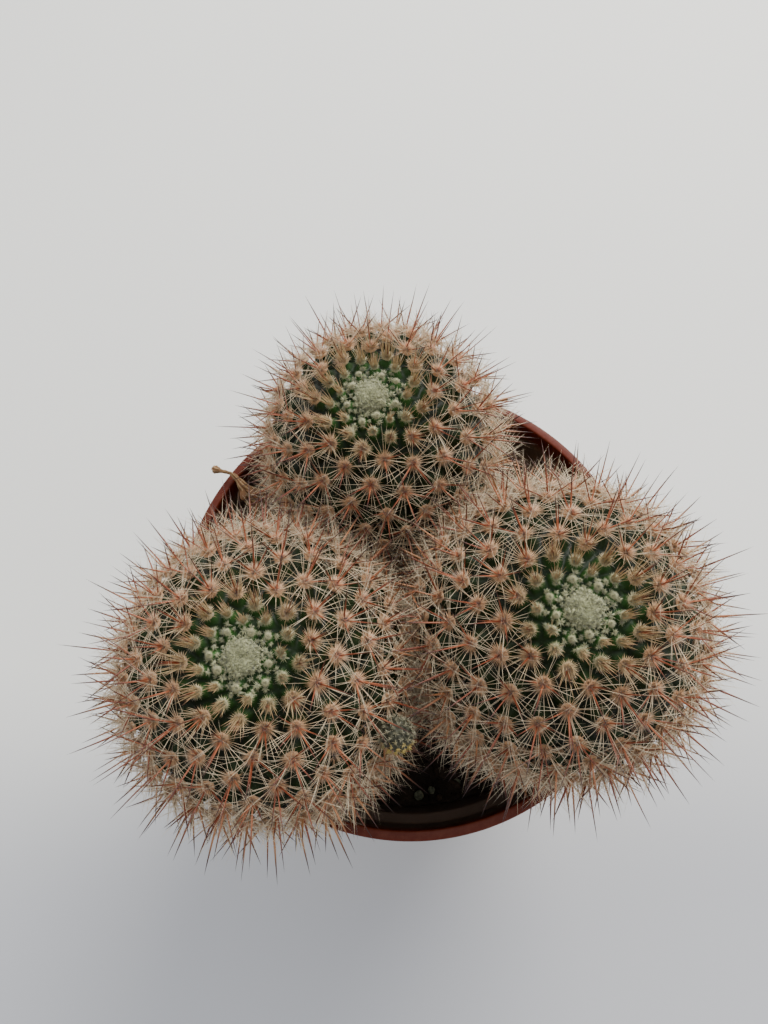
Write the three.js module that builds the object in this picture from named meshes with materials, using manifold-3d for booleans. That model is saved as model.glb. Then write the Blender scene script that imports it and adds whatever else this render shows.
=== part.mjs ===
// Three round cacti growing together in one round plastic nursery pot.
// Millimetres, +Z up. The origin is the centre of the pot's foot, on the surface it stands on.
import * as THREE from "three";
import { ConvexHull } from "three/addons/math/ConvexHull.js";
import { mergeVertices } from "three/addons/utils/BufferGeometryUtils.js";
import Module from "manifold-3d";

// Pot
const POT_HEIGHT = 65;
const RIM_RADIUS = 42.5; // outside of the lip
const LIP_WIDTH = 1.7; // flat top of the rim, from its outside to its inside
const LIP_THICKNESS = 1.8;
const COLLAR_HEIGHT = 12; // upright band under the lip
const COLLAR_DRAFT = 0.6; // how much narrower the collar is at its foot
const POT_WALL = 1.1;
const LEDGE_WIDTH = 1.7; // step inside the collar, on which a stacked pot rests
const FOOT_RADIUS = 30;
const FLOOR_THICKNESS = 1.6;
const DRAIN_COUNT = 6;
const DRAIN_RADIUS = 3;
const DRAIN_CIRCLE = 19;
const POT_SIDES = 48;
const EDGE_ROUND = 0.4; // bevel on the pot's outer edges

// Soil
const SOIL_DEPTH = 17; // from the lip down to the soil at the wall
const SOIL_CROWN = 2; // how much higher the soil is in the middle
const SOIL_LUMP = 0.35;
const SOIL_RINGS = 8;
const FIT_GAP = 0.3; // between any two pieces that touch

// Plants
const NECK_RADIUS = 9; // of the narrow base
const BODY_DROP = 20; // from the widest level down to the neck
const NECK_STAND = 5.4; // the neck's straight part ends this far above the soil's edge
const NECK_SIDES = 16;
const ROOT_LENGTH = 20;
const ROOT_TIP_RADIUS = 1.5;
const ROOT_LEVELS = [0.15, 0.4, 0.7, 1]; // shares of the root's length
const BASE_LEAN = 0.48; // slope of the leaning base, inwards over down
const LEAN_START = 8; // the height over which the base bends into that slope
const AREOLE_SPACING = 4.9; // between grown areoles
const YOUNG_SPACING = 1.7; // between the youngest areoles, at the crown
const YOUNG_REACH = 10.5; // over this far from the crown wool they grow apart
const TUBERCLE_HEIGHT = 0.33; // of the local spacing, above the mean skin
const AXIL_DEPTH = 0.14; // of the local spacing, below the mean skin
const BARE_BASE = 1.85; // place on the stem's outline below which no areoles grow
const CROWN_SIDES = 6;
const OUTLINE_STEPS = 900;
const WOOL_RADIUS = 2.4;
const WOOL_HEIGHT = 1.3;
const SPINE_LENGTH = 9.5; // longest central spines
const SPINE_SHORTEST = 3;
const SPINE_BASE_RADIUS = 0.42;
const SPINE_VARIATION = 0.25; // share of the length by which the spines differ
const SPINE_DROOP = 0.12; // central spines point this much away from the crown
const SPINE_CLEARANCE = 1; // spines stop this far from whatever is beside them
const GOLDEN_ANGLE = Math.PI * (3 - Math.sqrt(5));
// Each plant stands at an azimuth round the pot, in degrees. Its centre's distance from the pot's
// axis and its radius are shares of the rim's radius. The height of its widest level above the lip
// is a share of the drop to its neck, so that its base is always narrow where it passes the lip.
const PLANTS = [
  { name: "left", azimuth: 208.17, out: 0.6379, size: 0.4988, above: 0.75, rise: 1.0, turn: 0.6 },
  { name: "right", azimuth: 328.16, out: 0.6066, size: 0.4988, above: 0.75, rise: 1.02, turn: 2.1 },
  { name: "back", azimuth: 90.48, out: 0.565, size: 0.4353, above: 0.675, rise: 1.02, turn: 4.0 },
];
const PLANT_TILTS = { left: [0.01, -0.07], right: [0.02, -0.08], back: [-0.04, -0.02] };

// Small pieces
const OFFSET_RADIUS = 2.7; // young plant on the flank of the left one
const OFFSET_AIM = [0.72, -0.55, 0.42]; // from the parent's centre, in parent radii
const OFFSET_STALK_RADIUS = 0.35;
const OFFSET_STEPS = 7;
const FLOWER_AZIMUTH = 137;
// Withered flower, from its curled tip over the lip to its wide end: distance outside the rim,
// height above the lip and radius.
const FLOWER_STATIONS = [
  [2.7, 0.7, 0.7],
  [1.7, 2.0, 1.3],
  [0.3, 2.1, 0.9],
  [-1.1, 1.25, 0.8],
  [-3.3, 0.9, 0.8],
  [-5.5, -0.8, 1.3],
  [-7.3, -2.2, 2.2],
  [-8.7, -3.3, 1.8],
];
const FLOWER_SIDES = 8;
// Loose pieces on the soil: azimuth in degrees, distance from the wall and size.
const GRAINS = [
  { name: "grit_1", azimuth: 263.7, inset: 2.15, size: 0.9 },
  { name: "grit_2", azimuth: 267.7, inset: 2.95, size: 0.7 },
  { name: "grit_3", azimuth: 276.1, inset: 3.6, size: 0.8 },
  { name: "bark_chip", azimuth: 272.2, inset: 5.75, size: 1.5 },
];
const GRAIN_LENGTH = 1.2;
const GRAIN_THICKNESS = 0.7;

const wasm = await Module();
wasm.setup();

// A closed three.js geometry as a manifold-3d solid.
function solidOf(geometry) {
  const bare = geometry.clone();
  bare.deleteAttribute("normal");
  bare.deleteAttribute("uv");
  const merged = mergeVertices(bare, 1e-4);
  return new wasm.Manifold(
    new wasm.Mesh({
      numProp: 3,
      vertProperties: new Float32Array(merged.attributes.position.array),
      triVerts: new Uint32Array(merged.index.array),
    }),
  );
}

function geometryOf(solid) {
  const mesh = solid.getMesh();
  return indexedGeometry(mesh.vertProperties, mesh.triVerts);
}

function indexedGeometry(positions, triangles) {
  const geometry = new THREE.BufferGeometry();
  geometry.setAttribute("position", new THREE.Float32BufferAttribute(positions, 3));
  geometry.setIndex(Array.from(triangles));
  const flat = geometry.toNonIndexed();
  flat.computeVertexNormals();
  return flat;
}

function namedMesh(name, geometry, colour, roughness) {
  const mesh = new THREE.Mesh(
    geometry,
    new THREE.MeshStandardMaterial({ color: colour, roughness, metalness: 0, flatShading: true }),
  );
  mesh.name = name;
  return mesh;
}

// A repeatable number from 0 to 1 for a whole number.
function scatter(index, salt) {
  const wave = Math.sin(index * 12.9898 + salt * 78.233) * 43758.5453;
  return wave - Math.floor(wave);
}

// ---------------------------------------------------------------------------------------- pot

// The inside radius of the pot's body and of its collar, at a height.
function innerRadius(z) {
  const collarFoot = POT_HEIGHT - COLLAR_HEIGHT;
  const collarTop = RIM_RADIUS - LIP_WIDTH;
  if (z >= collarFoot) {
    return collarTop - COLLAR_DRAFT * ((POT_HEIGHT - z) / COLLAR_HEIGHT);
  }
  const bodyTop = collarTop - COLLAR_DRAFT - LEDGE_WIDTH;
  const bodyFoot = FOOT_RADIUS - POT_WALL;
  return bodyFoot + (bodyTop - bodyFoot) * ((z - FLOOR_THICKNESS) / (collarFoot - FLOOR_THICKNESS));
}

function potGeometry() {
  const collarFoot = POT_HEIGHT - COLLAR_HEIGHT;
  const below = collarFoot - 1e-6;
  const lipFoot = POT_HEIGHT - LIP_THICKNESS;
  const edge = EDGE_ROUND;
  const profile = [
    [0, 0],
    [FOOT_RADIUS - edge, 0],
    [FOOT_RADIUS, edge],
    [innerRadius(below) + POT_WALL, collarFoot - POT_WALL],
    [innerRadius(collarFoot) + POT_WALL, collarFoot - POT_WALL],
    [innerRadius(lipFoot) + POT_WALL, lipFoot - edge],
    [RIM_RADIUS - edge / 2, lipFoot],
    [RIM_RADIUS, lipFoot + edge],
    [RIM_RADIUS, POT_HEIGHT - edge],
    [RIM_RADIUS - edge, POT_HEIGHT],
    [RIM_RADIUS - LIP_WIDTH, POT_HEIGHT],
    [innerRadius(collarFoot), collarFoot],
    [innerRadius(below), collarFoot],
    [innerRadius(FLOOR_THICKNESS), FLOOR_THICKNESS],
    [0, FLOOR_THICKNESS],
  ].map(([r, z]) => new THREE.Vector2(r, z));
  const shell = new THREE.LatheGeometry(profile, POT_SIDES).rotateX(Math.PI / 2);
  let pot = solidOf(shell);
  for (let i = 0; i < DRAIN_COUNT; i += 1) {
    const turn = ((i + 0.5) * 2 * Math.PI) / DRAIN_COUNT;
    const hole = new THREE.CylinderGeometry(DRAIN_RADIUS, DRAIN_RADIUS, FLOOR_THICKNESS * 3, 12)
      .rotateX(Math.PI / 2)
      .translate(DRAIN_CIRCLE * Math.cos(turn), DRAIN_CIRCLE * Math.sin(turn), 0);
    pot = pot.subtract(solidOf(hole));
  }
  return geometryOf(pot);
}

// --------------------------------------------------------------------------------------- soil

const SOIL_EDGE = POT_HEIGHT - SOIL_DEPTH;

// The soil's surface: a low dome with shallow lumps.
function soilHeight(x, y) {
  const share = Math.min(1, Math.hypot(x, y) / innerRadius(SOIL_EDGE));
  const lumps = Math.sin(x * 0.61 + 1) * Math.cos(y * 0.53) + 0.6 * Math.sin(x * 0.29 - y * 0.47 + 2);
  return SOIL_EDGE + SOIL_CROWN * (1 - share * share) + SOIL_LUMP * lumps * (1 - share ** 4);
}

function soilGeometry(plants) {
  const bottom = FLOOR_THICKNESS + FIT_GAP;
  // A facet's middle lies nearer the axis than its corners, so only the corners need the gap.
  const profile = [
    new THREE.Vector2(0, bottom),
    new THREE.Vector2(innerRadius(bottom) - 2 * FIT_GAP, bottom),
  ];
  const edge = innerRadius(SOIL_EDGE) - 2 * FIT_GAP;
  for (let i = 0; i <= SOIL_RINGS; i += 1) {
    profile.push(new THREE.Vector2(edge * (1 - i / SOIL_RINGS), SOIL_EDGE));
  }
  const geometry = new THREE.LatheGeometry(profile, POT_SIDES).rotateX(Math.PI / 2);
  const position = geometry.attributes.position;
  for (let i = 0; i < position.count; i += 1) {
    if (position.getZ(i) > (bottom + SOIL_EDGE) / 2) {
      position.setZ(i, soilHeight(position.getX(i), position.getY(i)));
    }
  }
  let soil = solidOf(geometry);
  for (const plant of plants) {
    soil = soil.subtract(solidOf(rootSocket(plant)));
  }
  return geometryOf(soil);
}

// -------------------------------------------------------------------------------------- plants

// The stem's outline: t runs 0 to 1 from the crown to the widest level, 1 to 2 on to the neck,
// and 2 to 3 down the neck to its foot.
function outline(plant, t) {
  const angle = (t % 1) * (Math.PI / 2);
  if (t < 1) {
    return { rho: plant.radius * Math.sin(angle), z: plant.radius * plant.rise * Math.cos(angle) };
  }
  if (t < 2) {
    const swell = Math.sqrt(plant.radius ** 2 - NECK_RADIUS ** 2) * Math.cos(angle);
    return { rho: Math.hypot(NECK_RADIUS, swell), z: -BODY_DROP * Math.sin(angle) };
  }
  const neckFoot = SOIL_EDGE + NECK_STAND - plant.centre[2];
  return { rho: NECK_RADIUS, z: -BODY_DROP + (neckFoot + BODY_DROP) * (t - 2) };
}

// How far the base has moved inwards, level by level. The neck and the root go straight down.
function leanAt(z) {
  const depth = THREE.MathUtils.clamp(-z, 0, BODY_DROP);
  return BASE_LEAN * (Math.hypot(depth, LEAN_START) - LEAN_START);
}

function spacingAt(arc) {
  const grown = THREE.MathUtils.clamp((arc - WOOL_RADIUS) / YOUNG_REACH, 0, 1);
  return YOUNG_SPACING + (AREOLE_SPACING - YOUNG_SPACING) * grown;
}

// Rows down the stem's outline, each with its arc length, its isometric latitude, which maps the
// stem to a sphere with no change of shape, and how many areoles lie above it.
function outlineTable(plant) {
  const rows = [];
  let arc = 0;
  let latitude = 0;
  let count = 0;
  for (let i = 1; i <= OUTLINE_STEPS; i += 1) {
    const t = (3 * i) / OUTLINE_STEPS;
    const here = outline(plant, t);
    const before = rows.at(-1) ?? { rho: 0, z: outline(plant, 0).z };
    const step = Math.hypot(here.rho - before.rho, here.z - before.z);
    arc += step;
    latitude = i === 1 ? Math.log(Math.tan(arc / plant.radius / 2)) : latitude + step / here.rho;
    if (arc > WOOL_RADIUS + YOUNG_SPACING / 2) {
      count += (2 * Math.PI * here.rho * step) / (0.866 * spacingAt(arc) ** 2);
    }
    rows.push({
      t,
      ...here,
      arc,
      latitude,
      count,
      normal: [(before.z - here.z) / step, (here.rho - before.rho) / step],
    });
  }
  return rows;
}

// The row where a rising column of the table reaches a value.
function rowWhere(rows, column, value) {
  const found = rows.find((row) => row[column] >= value);
  return found ?? rows.at(-1);
}

// A place on the stem, in the plant's own frame: +Z up its axis, +X towards the pot's middle.
function placeOn(plant, latitude, turn, lift) {
  const row = rowWhere(plant.rows, "latitude", latitude);
  const out = new THREE.Vector3(Math.cos(turn), Math.sin(turn), 0);
  const normal = out.clone().multiplyScalar(row.normal[0]).setZ(row.normal[1]);
  const point = out.multiplyScalar(row.rho).setZ(row.z);
  point.addScaledVector(normal, lift * spacingAt(row.arc));
  point.x += leanAt(row.z);
  return { point, normal, arc: row.arc, latitude: row.latitude, turn };
}

function onSphere(latitude, turn) {
  const polar = 2 * Math.atan(Math.exp(latitude));
  return new THREE.Vector3(
    Math.sin(polar) * Math.cos(turn),
    Math.sin(polar) * Math.sin(turn),
    Math.cos(polar),
  );
}

// The plant's frame in the pot.
function plantFrame(plant) {
  const axis = new THREE.Vector3(...PLANT_TILTS[plant.name], 1).normalize();
  const inward = Math.atan2(-plant.centre[1], -plant.centre[0]);
  const frame = new THREE.Group();
  frame.position.set(...plant.centre);
  frame.quaternion
    .setFromUnitVectors(new THREE.Vector3(0, 0, 1), axis)
    .multiply(new THREE.Quaternion().setFromAxisAngle(new THREE.Vector3(0, 0, 1), inward));
  frame.updateMatrixWorld(true);
  return frame;
}

// Areoles on a golden spiral, closer together at the crown, down to where the bare base begins.
function areolesOf(plant) {
  const bareBase = rowWhere(plant.rows, "t", BARE_BASE).count;
  const areoles = [];
  for (let k = 0; k + 0.5 < bareBase; k += 1) {
    const row = rowWhere(plant.rows, "count", k + 0.5);
    const place = placeOn(plant, row.latitude, plant.turn + k * GOLDEN_ANGLE, TUBERCLE_HEIGHT);
    areoles.push({ ...place, index: k });
  }
  return areoles;
}

// A level ring of sites on the mean skin.
function plainRing(plant, latitude, sides) {
  return Array.from({ length: sides }, (_, i) =>
    placeOn(plant, latitude, ((i + 0.5) * 2 * Math.PI) / sides, 0),
  );
}

// The triangles that join neighbouring sites, as a Delaunay mesh made on the sphere.
function joinedSites(sites) {
  const points = sites.map((site) => onSphere(site.latitude, site.turn));
  points.push(new THREE.Vector3(0, 0, -1));
  const indexOf = new Map(points.map((point, i) => [point, i]));
  return new ConvexHull().setFromPoints(points).faces.map((face) => {
    const corners = [face.edge, face.edge.next, face.edge.next.next];
    return corners.map((edge) => indexOf.get(edge.head().point));
  });
}

// The height of a point in the pot's frame over a plant's mean skin.
function heightOver(plant, point) {
  const { x, y, z } = plant.frame.worldToLocal(point.clone());
  const out = Math.hypot(x - leanAt(z), y);
  if (z > 0) {
    return Math.hypot(out, z / plant.rise) - plant.radius;
  }
  const level = Math.sqrt(Math.max(0, 1 - (z / BODY_DROP) ** 2));
  return out - Math.hypot(NECK_RADIUS, Math.sqrt(plant.radius ** 2 - NECK_RADIUS ** 2) * level);
}

// Whether a point in the pot's frame is clear of the other plants, the pot, the soil and the small
// pieces. Between two plants each keeps to its own side.
function isClear(plant, point, keepOut) {
  const own = heightOver(plant, point);
  if (PLANTS.some((other) => other !== plant && heightOver(other, point) - own < SPINE_CLEARANCE)) {
    return false;
  }
  if (keepOut.some((ball) => point.distanceTo(ball.centre) < ball.radius + SPINE_CLEARANCE)) {
    return false;
  }
  const out = Math.hypot(point.x, point.y);
  if (point.z > POT_HEIGHT + SPINE_CLEARANCE || out > RIM_RADIUS + SPINE_CLEARANCE) {
    return true;
  }
  const inside = out < innerRadius(Math.min(point.z, POT_HEIGHT)) - SPINE_CLEARANCE;
  return inside && point.z > soilHeight(point.x, point.y) + SPINE_CLEARANCE;
}

// The central spine of an areole: its direction, and the longest length that stays clear.
function spineOf(plant, areole, keepOut) {
  const toPot = plant.frame.matrixWorld;
  const away = new THREE.Vector3(0, 0, -1).projectOnPlane(areole.normal);
  const direction = areole.normal.clone().addScaledVector(away, SPINE_DROOP).normalize();
  const wanted = SPINE_LENGTH * (1 - SPINE_VARIATION * scatter(areole.index, 1));
  const step = 0.5;
  let length = 0;
  while (length + step <= wanted) {
    const next = areole.point.clone().addScaledVector(direction, length + step);
    if (!isClear(plant, next.applyMatrix4(toPot), keepOut)) {
      break;
    }
    length += step;
  }
  return { direction, length };
}

// The corners of a plant's skin above its root: its areoles, plain rings at the crown and the neck,
// and an axil in the middle of each triangle of sites that has an areole.
function stemOf(plant) {
  const crown = rowWhere(plant.rows, "arc", WOOL_RADIUS * 0.75);
  const neck = rowWhere(plant.rows, "t", 2.2);
  const sites = [
    ...plant.areoles,
    placeOn(plant, plant.rows[0].latitude, 0, 0),
    ...plainRing(plant, crown.latitude, CROWN_SIDES),
    ...plainRing(plant, neck.latitude, NECK_SIDES),
  ];
  const neckFoot = sites.length;
  sites.push(...plainRing(plant, plant.rows.at(-1).latitude, NECK_SIDES));
  const bottom = sites.length;
  const faces = joinedSites(sites)
    .filter((corners) => !corners.includes(bottom))
    .map((corners) => ({ corners, axil: axilOf(plant, sites, corners) }));
  return { sites, faces, neckFoot };
}

// The valley between three sites, or null where none of them is an areole.
function axilOf(plant, sites, corners) {
  if (corners.every((i) => i >= plant.areoles.length)) {
    return null;
  }
  const middle = new THREE.Vector3();
  corners.forEach((i) => middle.add(onSphere(sites[i].latitude, sites[i].turn)));
  middle.normalize();
  const latitude = Math.log(Math.tan(Math.acos(middle.z) / 2));
  return placeOn(plant, latitude, Math.atan2(middle.y, middle.x), -AXIL_DEPTH);
}

// One plant: a stem covered in tubercles, each with a central spine where there is room for it,
// its neck and its tapering root, as one closed skin.
function plantGeometry(plant, keepOut) {
  const { areoles, stem } = plant;
  const vertices = stem.sites.map((site) => site.point);
  const triangles = [];
  const around = areoles.map(() => new Map());
  const edges = new Map();
  for (const { corners, axil } of stem.faces) {
    let valley = -1;
    if (axil) {
      valley = vertices.length;
      vertices.push(axil.point);
    } else {
      triangles.push(corners);
    }
    for (let i = 0; i < 3; i += 1) {
      edges.set(`${corners[i]},${corners[(i + 1) % 3]}`, valley);
    }
  }
  // Each side of a face is the ridge between two sites: the skin on each side of it runs from the
  // site to the axils beside it.
  for (const [key, valley] of edges) {
    const [from, to] = key.split(",").map(Number);
    const across = edges.get(`${to},${from}`);
    if (valley < 0) {
      continue;
    }
    if (across === undefined || across < 0) {
      triangles.push([from, to, valley]);
    } else if (from < areoles.length) {
      around[from].set(across, valley);
    } else {
      triangles.push([from, across, valley]);
    }
  }
  areoles.forEach((areole, i) => {
    const loop = loopOf(around[i]);
    const spine = spineOf(plant, areole, keepOut);
    if (spine.length < SPINE_SHORTEST) {
      loop.forEach((valley, j) => triangles.push([i, valley, loop[(j + 1) % loop.length]]));
    } else {
      triangles.push(...spinedTubercle(areole, spine, loop, vertices));
    }
  });
  addRoot(plant, stem.neckFoot, vertices, triangles);
  return compactGeometry(vertices, triangles);
}

// A map from each vertex to the one after it, as a list in order.
function loopOf(next) {
  const loop = [next.keys().next().value];
  while (loop.length < next.size) {
    loop.push(next.get(loop.at(-1)));
  }
  return loop;
}

// The skin from the axils up to a three-sided spine on the tubercle's top.
function spinedTubercle(areole, spine, loop, vertices) {
  const across = new THREE.Vector3(0, 0, 1).cross(areole.normal).normalize();
  const along = areole.normal.clone().cross(across);
  const turnOf = (point) => {
    const off = point.clone().sub(areole.point);
    return Math.atan2(off.dot(along), off.dot(across));
  };
  const first = vertices.length;
  const start = turnOf(vertices[loop[0]]);
  for (let j = 0; j < 3; j += 1) {
    const turn = start + (j * 2 * Math.PI) / 3;
    vertices.push(
      areole.point
        .clone()
        .addScaledVector(across, SPINE_BASE_RADIUS * Math.cos(turn))
        .addScaledVector(along, SPINE_BASE_RADIUS * Math.sin(turn)),
    );
  }
  const tip = vertices.length;
  vertices.push(areole.point.clone().addScaledVector(spine.direction, spine.length));
  const unwrapped = loop.map((valley) => {
    const turn = turnOf(vertices[valley]) - start;
    return ((turn % (2 * Math.PI)) + 2 * Math.PI) % (2 * Math.PI);
  });
  unwrapped[0] = 0;
  const made = [];
  let inner = 0;
  let outer = 0;
  while (inner < 3 || outer < loop.length) {
    const outerNext = outer + 1 < loop.length ? unwrapped[outer + 1] : 2 * Math.PI;
    const innerNext = ((inner + 1) * 2 * Math.PI) / 3;
    const here = first + (inner % 3);
    if (inner === 3 || (outer < loop.length && outerNext <= innerNext + 1e-9)) {
      made.push([here, loop[outer % loop.length], loop[(outer + 1) % loop.length]]);
      outer += 1;
    } else {
      made.push([here, loop[outer % loop.length], first + ((inner + 1) % 3)]);
      inner += 1;
    }
  }
  for (let j = 0; j < 3; j += 1) {
    made.push([first + j, first + ((j + 1) % 3), tip]);
  }
  return made;
}

// Rings from the neck down the root, in the plant's frame: height, radius.
function rootStations(plant) {
  const top = plant.rows.at(-1).z;
  return ROOT_LEVELS.map((u) => ({
    z: top - ROOT_LENGTH * u,
    rho: NECK_RADIUS + (ROOT_TIP_RADIUS - NECK_RADIUS) * Math.sqrt(u),
  }));
}

function addRoot(plant, neckFoot, vertices, triangles) {
  let above = neckFoot;
  for (const { z, rho } of rootStations(plant)) {
    const ring = vertices.length;
    for (let i = 0; i < NECK_SIDES; i += 1) {
      const turn = ((i + 0.5) * 2 * Math.PI) / NECK_SIDES;
      vertices.push(new THREE.Vector3(rho * Math.cos(turn) + leanAt(z), rho * Math.sin(turn), z));
    }
    for (let i = 0; i < NECK_SIDES; i += 1) {
      const next = (i + 1) % NECK_SIDES;
      triangles.push([above + next, above + i, ring + i]);
      triangles.push([above + next, ring + i, ring + next]);
    }
    above = ring;
  }
  for (let i = 1; i + 1 < NECK_SIDES; i += 1) {
    triangles.push([above, above + i + 1, above + i]);
  }
}

// The hollow in the soil that a plant's neck and root stand in, the fit gap wider all round.
function rootSocket(plant) {
  const rows = [];
  for (let t = 1.5; t <= 3; t += 0.125) {
    rows.push(rowWhere(plant.rows, "t", t));
  }
  const stations = [...rows, ...rootStations(plant)];
  const tip = stations.at(-1);
  stations.push({ z: tip.z - FIT_GAP, rho: tip.rho });
  const vertices = [];
  const triangles = [];
  const outside = 1 / Math.cos(Math.PI / NECK_SIDES);
  stations.forEach(({ z, rho }, level) => {
    for (let i = 0; i < NECK_SIDES; i += 1) {
      const turn = ((i + 0.5) * 2 * Math.PI) / NECK_SIDES;
      const wide = (rho + 2 * FIT_GAP) * outside;
      vertices.push(new THREE.Vector3(wide * Math.cos(turn) + leanAt(z), wide * Math.sin(turn), z));
    }
    if (level === 0) {
      return;
    }
    for (let i = 0; i < NECK_SIDES; i += 1) {
      const next = (i + 1) % NECK_SIDES;
      const above = (level - 1) * NECK_SIDES;
      const ring = level * NECK_SIDES;
      triangles.push([above + next, above + i, ring + i]);
      triangles.push([above + next, ring + i, ring + next]);
    }
  });
  const last = (stations.length - 1) * NECK_SIDES;
  for (let i = 1; i + 1 < NECK_SIDES; i += 1) {
    triangles.push([0, i, i + 1]);
    triangles.push([last, last + i + 1, last + i]);
  }
  return compactGeometry(vertices, triangles).applyMatrix4(plant.frame.matrixWorld);
}

function compactGeometry(vertices, triangles) {
  return indexedGeometry(
    vertices.flatMap((v) => [v.x, v.y, v.z]),
    triangles.flat(),
  );
}

function woolGeometry(plant) {
  const seat = plant.radius * plant.rise + FIT_GAP;
  const profile = [
    [0, 0],
    [WOOL_RADIUS * 0.9, 0],
    [WOOL_RADIUS, WOOL_HEIGHT * 0.3],
    [WOOL_RADIUS * 0.8, WOOL_HEIGHT * 0.8],
    [WOOL_RADIUS * 0.45, WOOL_HEIGHT],
    [0, WOOL_HEIGHT * 0.75],
  ].map(([r, z]) => new THREE.Vector2(r, z));
  return new THREE.LatheGeometry(profile, 14).rotateX(Math.PI / 2).translate(0, 0, seat);
}

// --------------------------------------------------------------------------------- small pieces

// A closed round tube through centres with a radius at each, drawn out to a point at each end.
function taperedTube(stations, sides) {
  const vertices = [];
  const triangles = [];
  stations.forEach(({ centre, radius }, level) => {
    const before = stations[Math.max(level - 1, 0)].centre;
    const after = stations[Math.min(level + 1, stations.length - 1)].centre;
    const along = after.clone().sub(before).normalize();
    const side = new THREE.Vector3(0, 0, 1).cross(along).normalize();
    const up = along.clone().cross(side);
    for (let i = 0; i < sides; i += 1) {
      const turn = (i * 2 * Math.PI) / sides;
      vertices.push(
        centre
          .clone()
          .addScaledVector(side, radius * Math.cos(turn))
          .addScaledVector(up, radius * Math.sin(turn)),
      );
    }
    for (let i = 0; level > 0 && i < sides; i += 1) {
      const next = (i + 1) % sides;
      const back = (level - 1) * sides;
      const ring = level * sides;
      triangles.push([back + i, back + next, ring + next]);
      triangles.push([back + i, ring + next, ring + i]);
    }
  });
  const last = (stations.length - 1) * sides;
  for (let i = 1; i + 1 < sides; i += 1) {
    triangles.push([0, i + 1, i]);
    triangles.push([last, last + i, last + i + 1]);
  }
  return compactGeometry(vertices, triangles);
}

// A point in the pot's frame from its azimuth in degrees, its distance from the axis and its height.
function pointAt(azimuth, out, z) {
  const turn = THREE.MathUtils.degToRad(azimuth);
  return new THREE.Vector3(out * Math.cos(turn), out * Math.sin(turn), z);
}

function flowerStations() {
  return FLOWER_STATIONS.map(([outside, above, radius]) => ({
    centre: pointAt(FLOWER_AZIMUTH, RIM_RADIUS + outside, POT_HEIGHT + above),
    radius,
  }));
}

// The young plant: a globe on a short stalk that stands in an axil of its parent.
function offsetGeometry() {
  const stalk = TUBERCLE_HEIGHT * AREOLE_SPACING + 2 * FIT_GAP;
  const profile = [new THREE.Vector2(0, 0), new THREE.Vector2(OFFSET_STALK_RADIUS, 0)];
  for (let i = 1; i < OFFSET_STEPS; i += 1) {
    const turn = (Math.PI * i) / OFFSET_STEPS;
    profile.push(
      new THREE.Vector2(OFFSET_RADIUS * Math.sin(turn), stalk + OFFSET_RADIUS * (1 - Math.cos(turn))),
    );
  }
  profile.push(new THREE.Vector2(0, stalk + 2 * OFFSET_RADIUS));
  return new THREE.LatheGeometry(profile, 12).rotateX(Math.PI / 2);
}

// The axil that the young plant stands in: the one nearest to where it is aimed.
function offsetSeat(parent) {
  const aim = new THREE.Vector3(...OFFSET_AIM).multiplyScalar(parent.radius).add(parent.frame.position);
  const toPot = parent.frame.matrixWorld;
  const axils = parent.stem.faces.map((face) => face.axil).filter((axil) => axil !== null);
  const places = axils.map((axil) => ({
    point: axil.point.clone().applyMatrix4(toPot),
    normal: axil.normal.clone().transformDirection(toPot),
  }));
  places.sort((a, b) => a.point.distanceTo(aim) - b.point.distanceTo(aim));
  return places[0];
}

// ------------------------------------------------------------------------------------- assembly

const part = new THREE.Group();
for (const plant of PLANTS) {
  plant.radius = plant.size * RIM_RADIUS;
  const height = POT_HEIGHT + plant.above * BODY_DROP;
  plant.centre = pointAt(plant.azimuth, plant.out * RIM_RADIUS, height).toArray();
  plant.rows = outlineTable(plant);
  plant.frame = plantFrame(plant);
  plant.areoles = areolesOf(plant);
  plant.stem = stemOf(plant);
}

const flower = flowerStations();
const keepOut = flower.map(({ centre, radius }) => ({ centre, radius }));
const seat = offsetSeat(PLANTS[0]);
const offsetMiddle = seat.point.clone().addScaledVector(seat.normal, 2 * OFFSET_RADIUS);
keepOut.push({ centre: offsetMiddle, radius: OFFSET_RADIUS });

part.add(namedMesh("pot", potGeometry(), 0x8a4a38, 0.45));
part.add(namedMesh("soil", soilGeometry(PLANTS), 0x17110d, 0.95));
for (const plant of PLANTS) {
  plant.frame.add(namedMesh(`${plant.name}_cactus`, plantGeometry(plant, keepOut), 0x2f4a2c, 0.6));
  plant.frame.add(namedMesh(`${plant.name}_crown_wool`, woolGeometry(plant), 0xc4ccb0, 0.95));
  part.add(plant.frame);
}

const offset = namedMesh("young_offset", offsetGeometry(), 0x6f7858, 0.8);
offset.position.copy(seat.point).addScaledVector(seat.normal, FIT_GAP + OFFSET_STALK_RADIUS);
offset.quaternion.setFromUnitVectors(new THREE.Vector3(0, 0, 1), seat.normal);
part.add(offset);
part.add(namedMesh("withered_flower", taperedTube(flower, FLOWER_SIDES), 0xb08a5c, 0.8));

for (const grain of GRAINS) {
  const shape = namedMesh(grain.name, new THREE.IcosahedronGeometry(grain.size, 0), 0xb8b4a4, 0.9);
  const place = pointAt(grain.azimuth, innerRadius(SOIL_EDGE) - grain.inset, 0);
  place.z = soilHeight(place.x, place.y) + grain.size * GRAIN_THICKNESS + FIT_GAP;
  shape.scale.set(GRAIN_LENGTH, 1, GRAIN_THICKNESS);
  shape.rotation.z = place.x;
  shape.position.copy(place);
  part.add(shape);
}

export default part;
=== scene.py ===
"""Three round cacti growing together in a round plastic nursery pot.

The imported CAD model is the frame: metres, +Z up, origin at the centre of the pot's foot. Every piece here is
a surface worked out with numpy around that frame.
"""

import math

import bpy
import numpy as np
from bpy.props import FloatProperty, FloatVectorProperty, IntProperty, PointerProperty
from mathutils import Matrix, Vector


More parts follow.
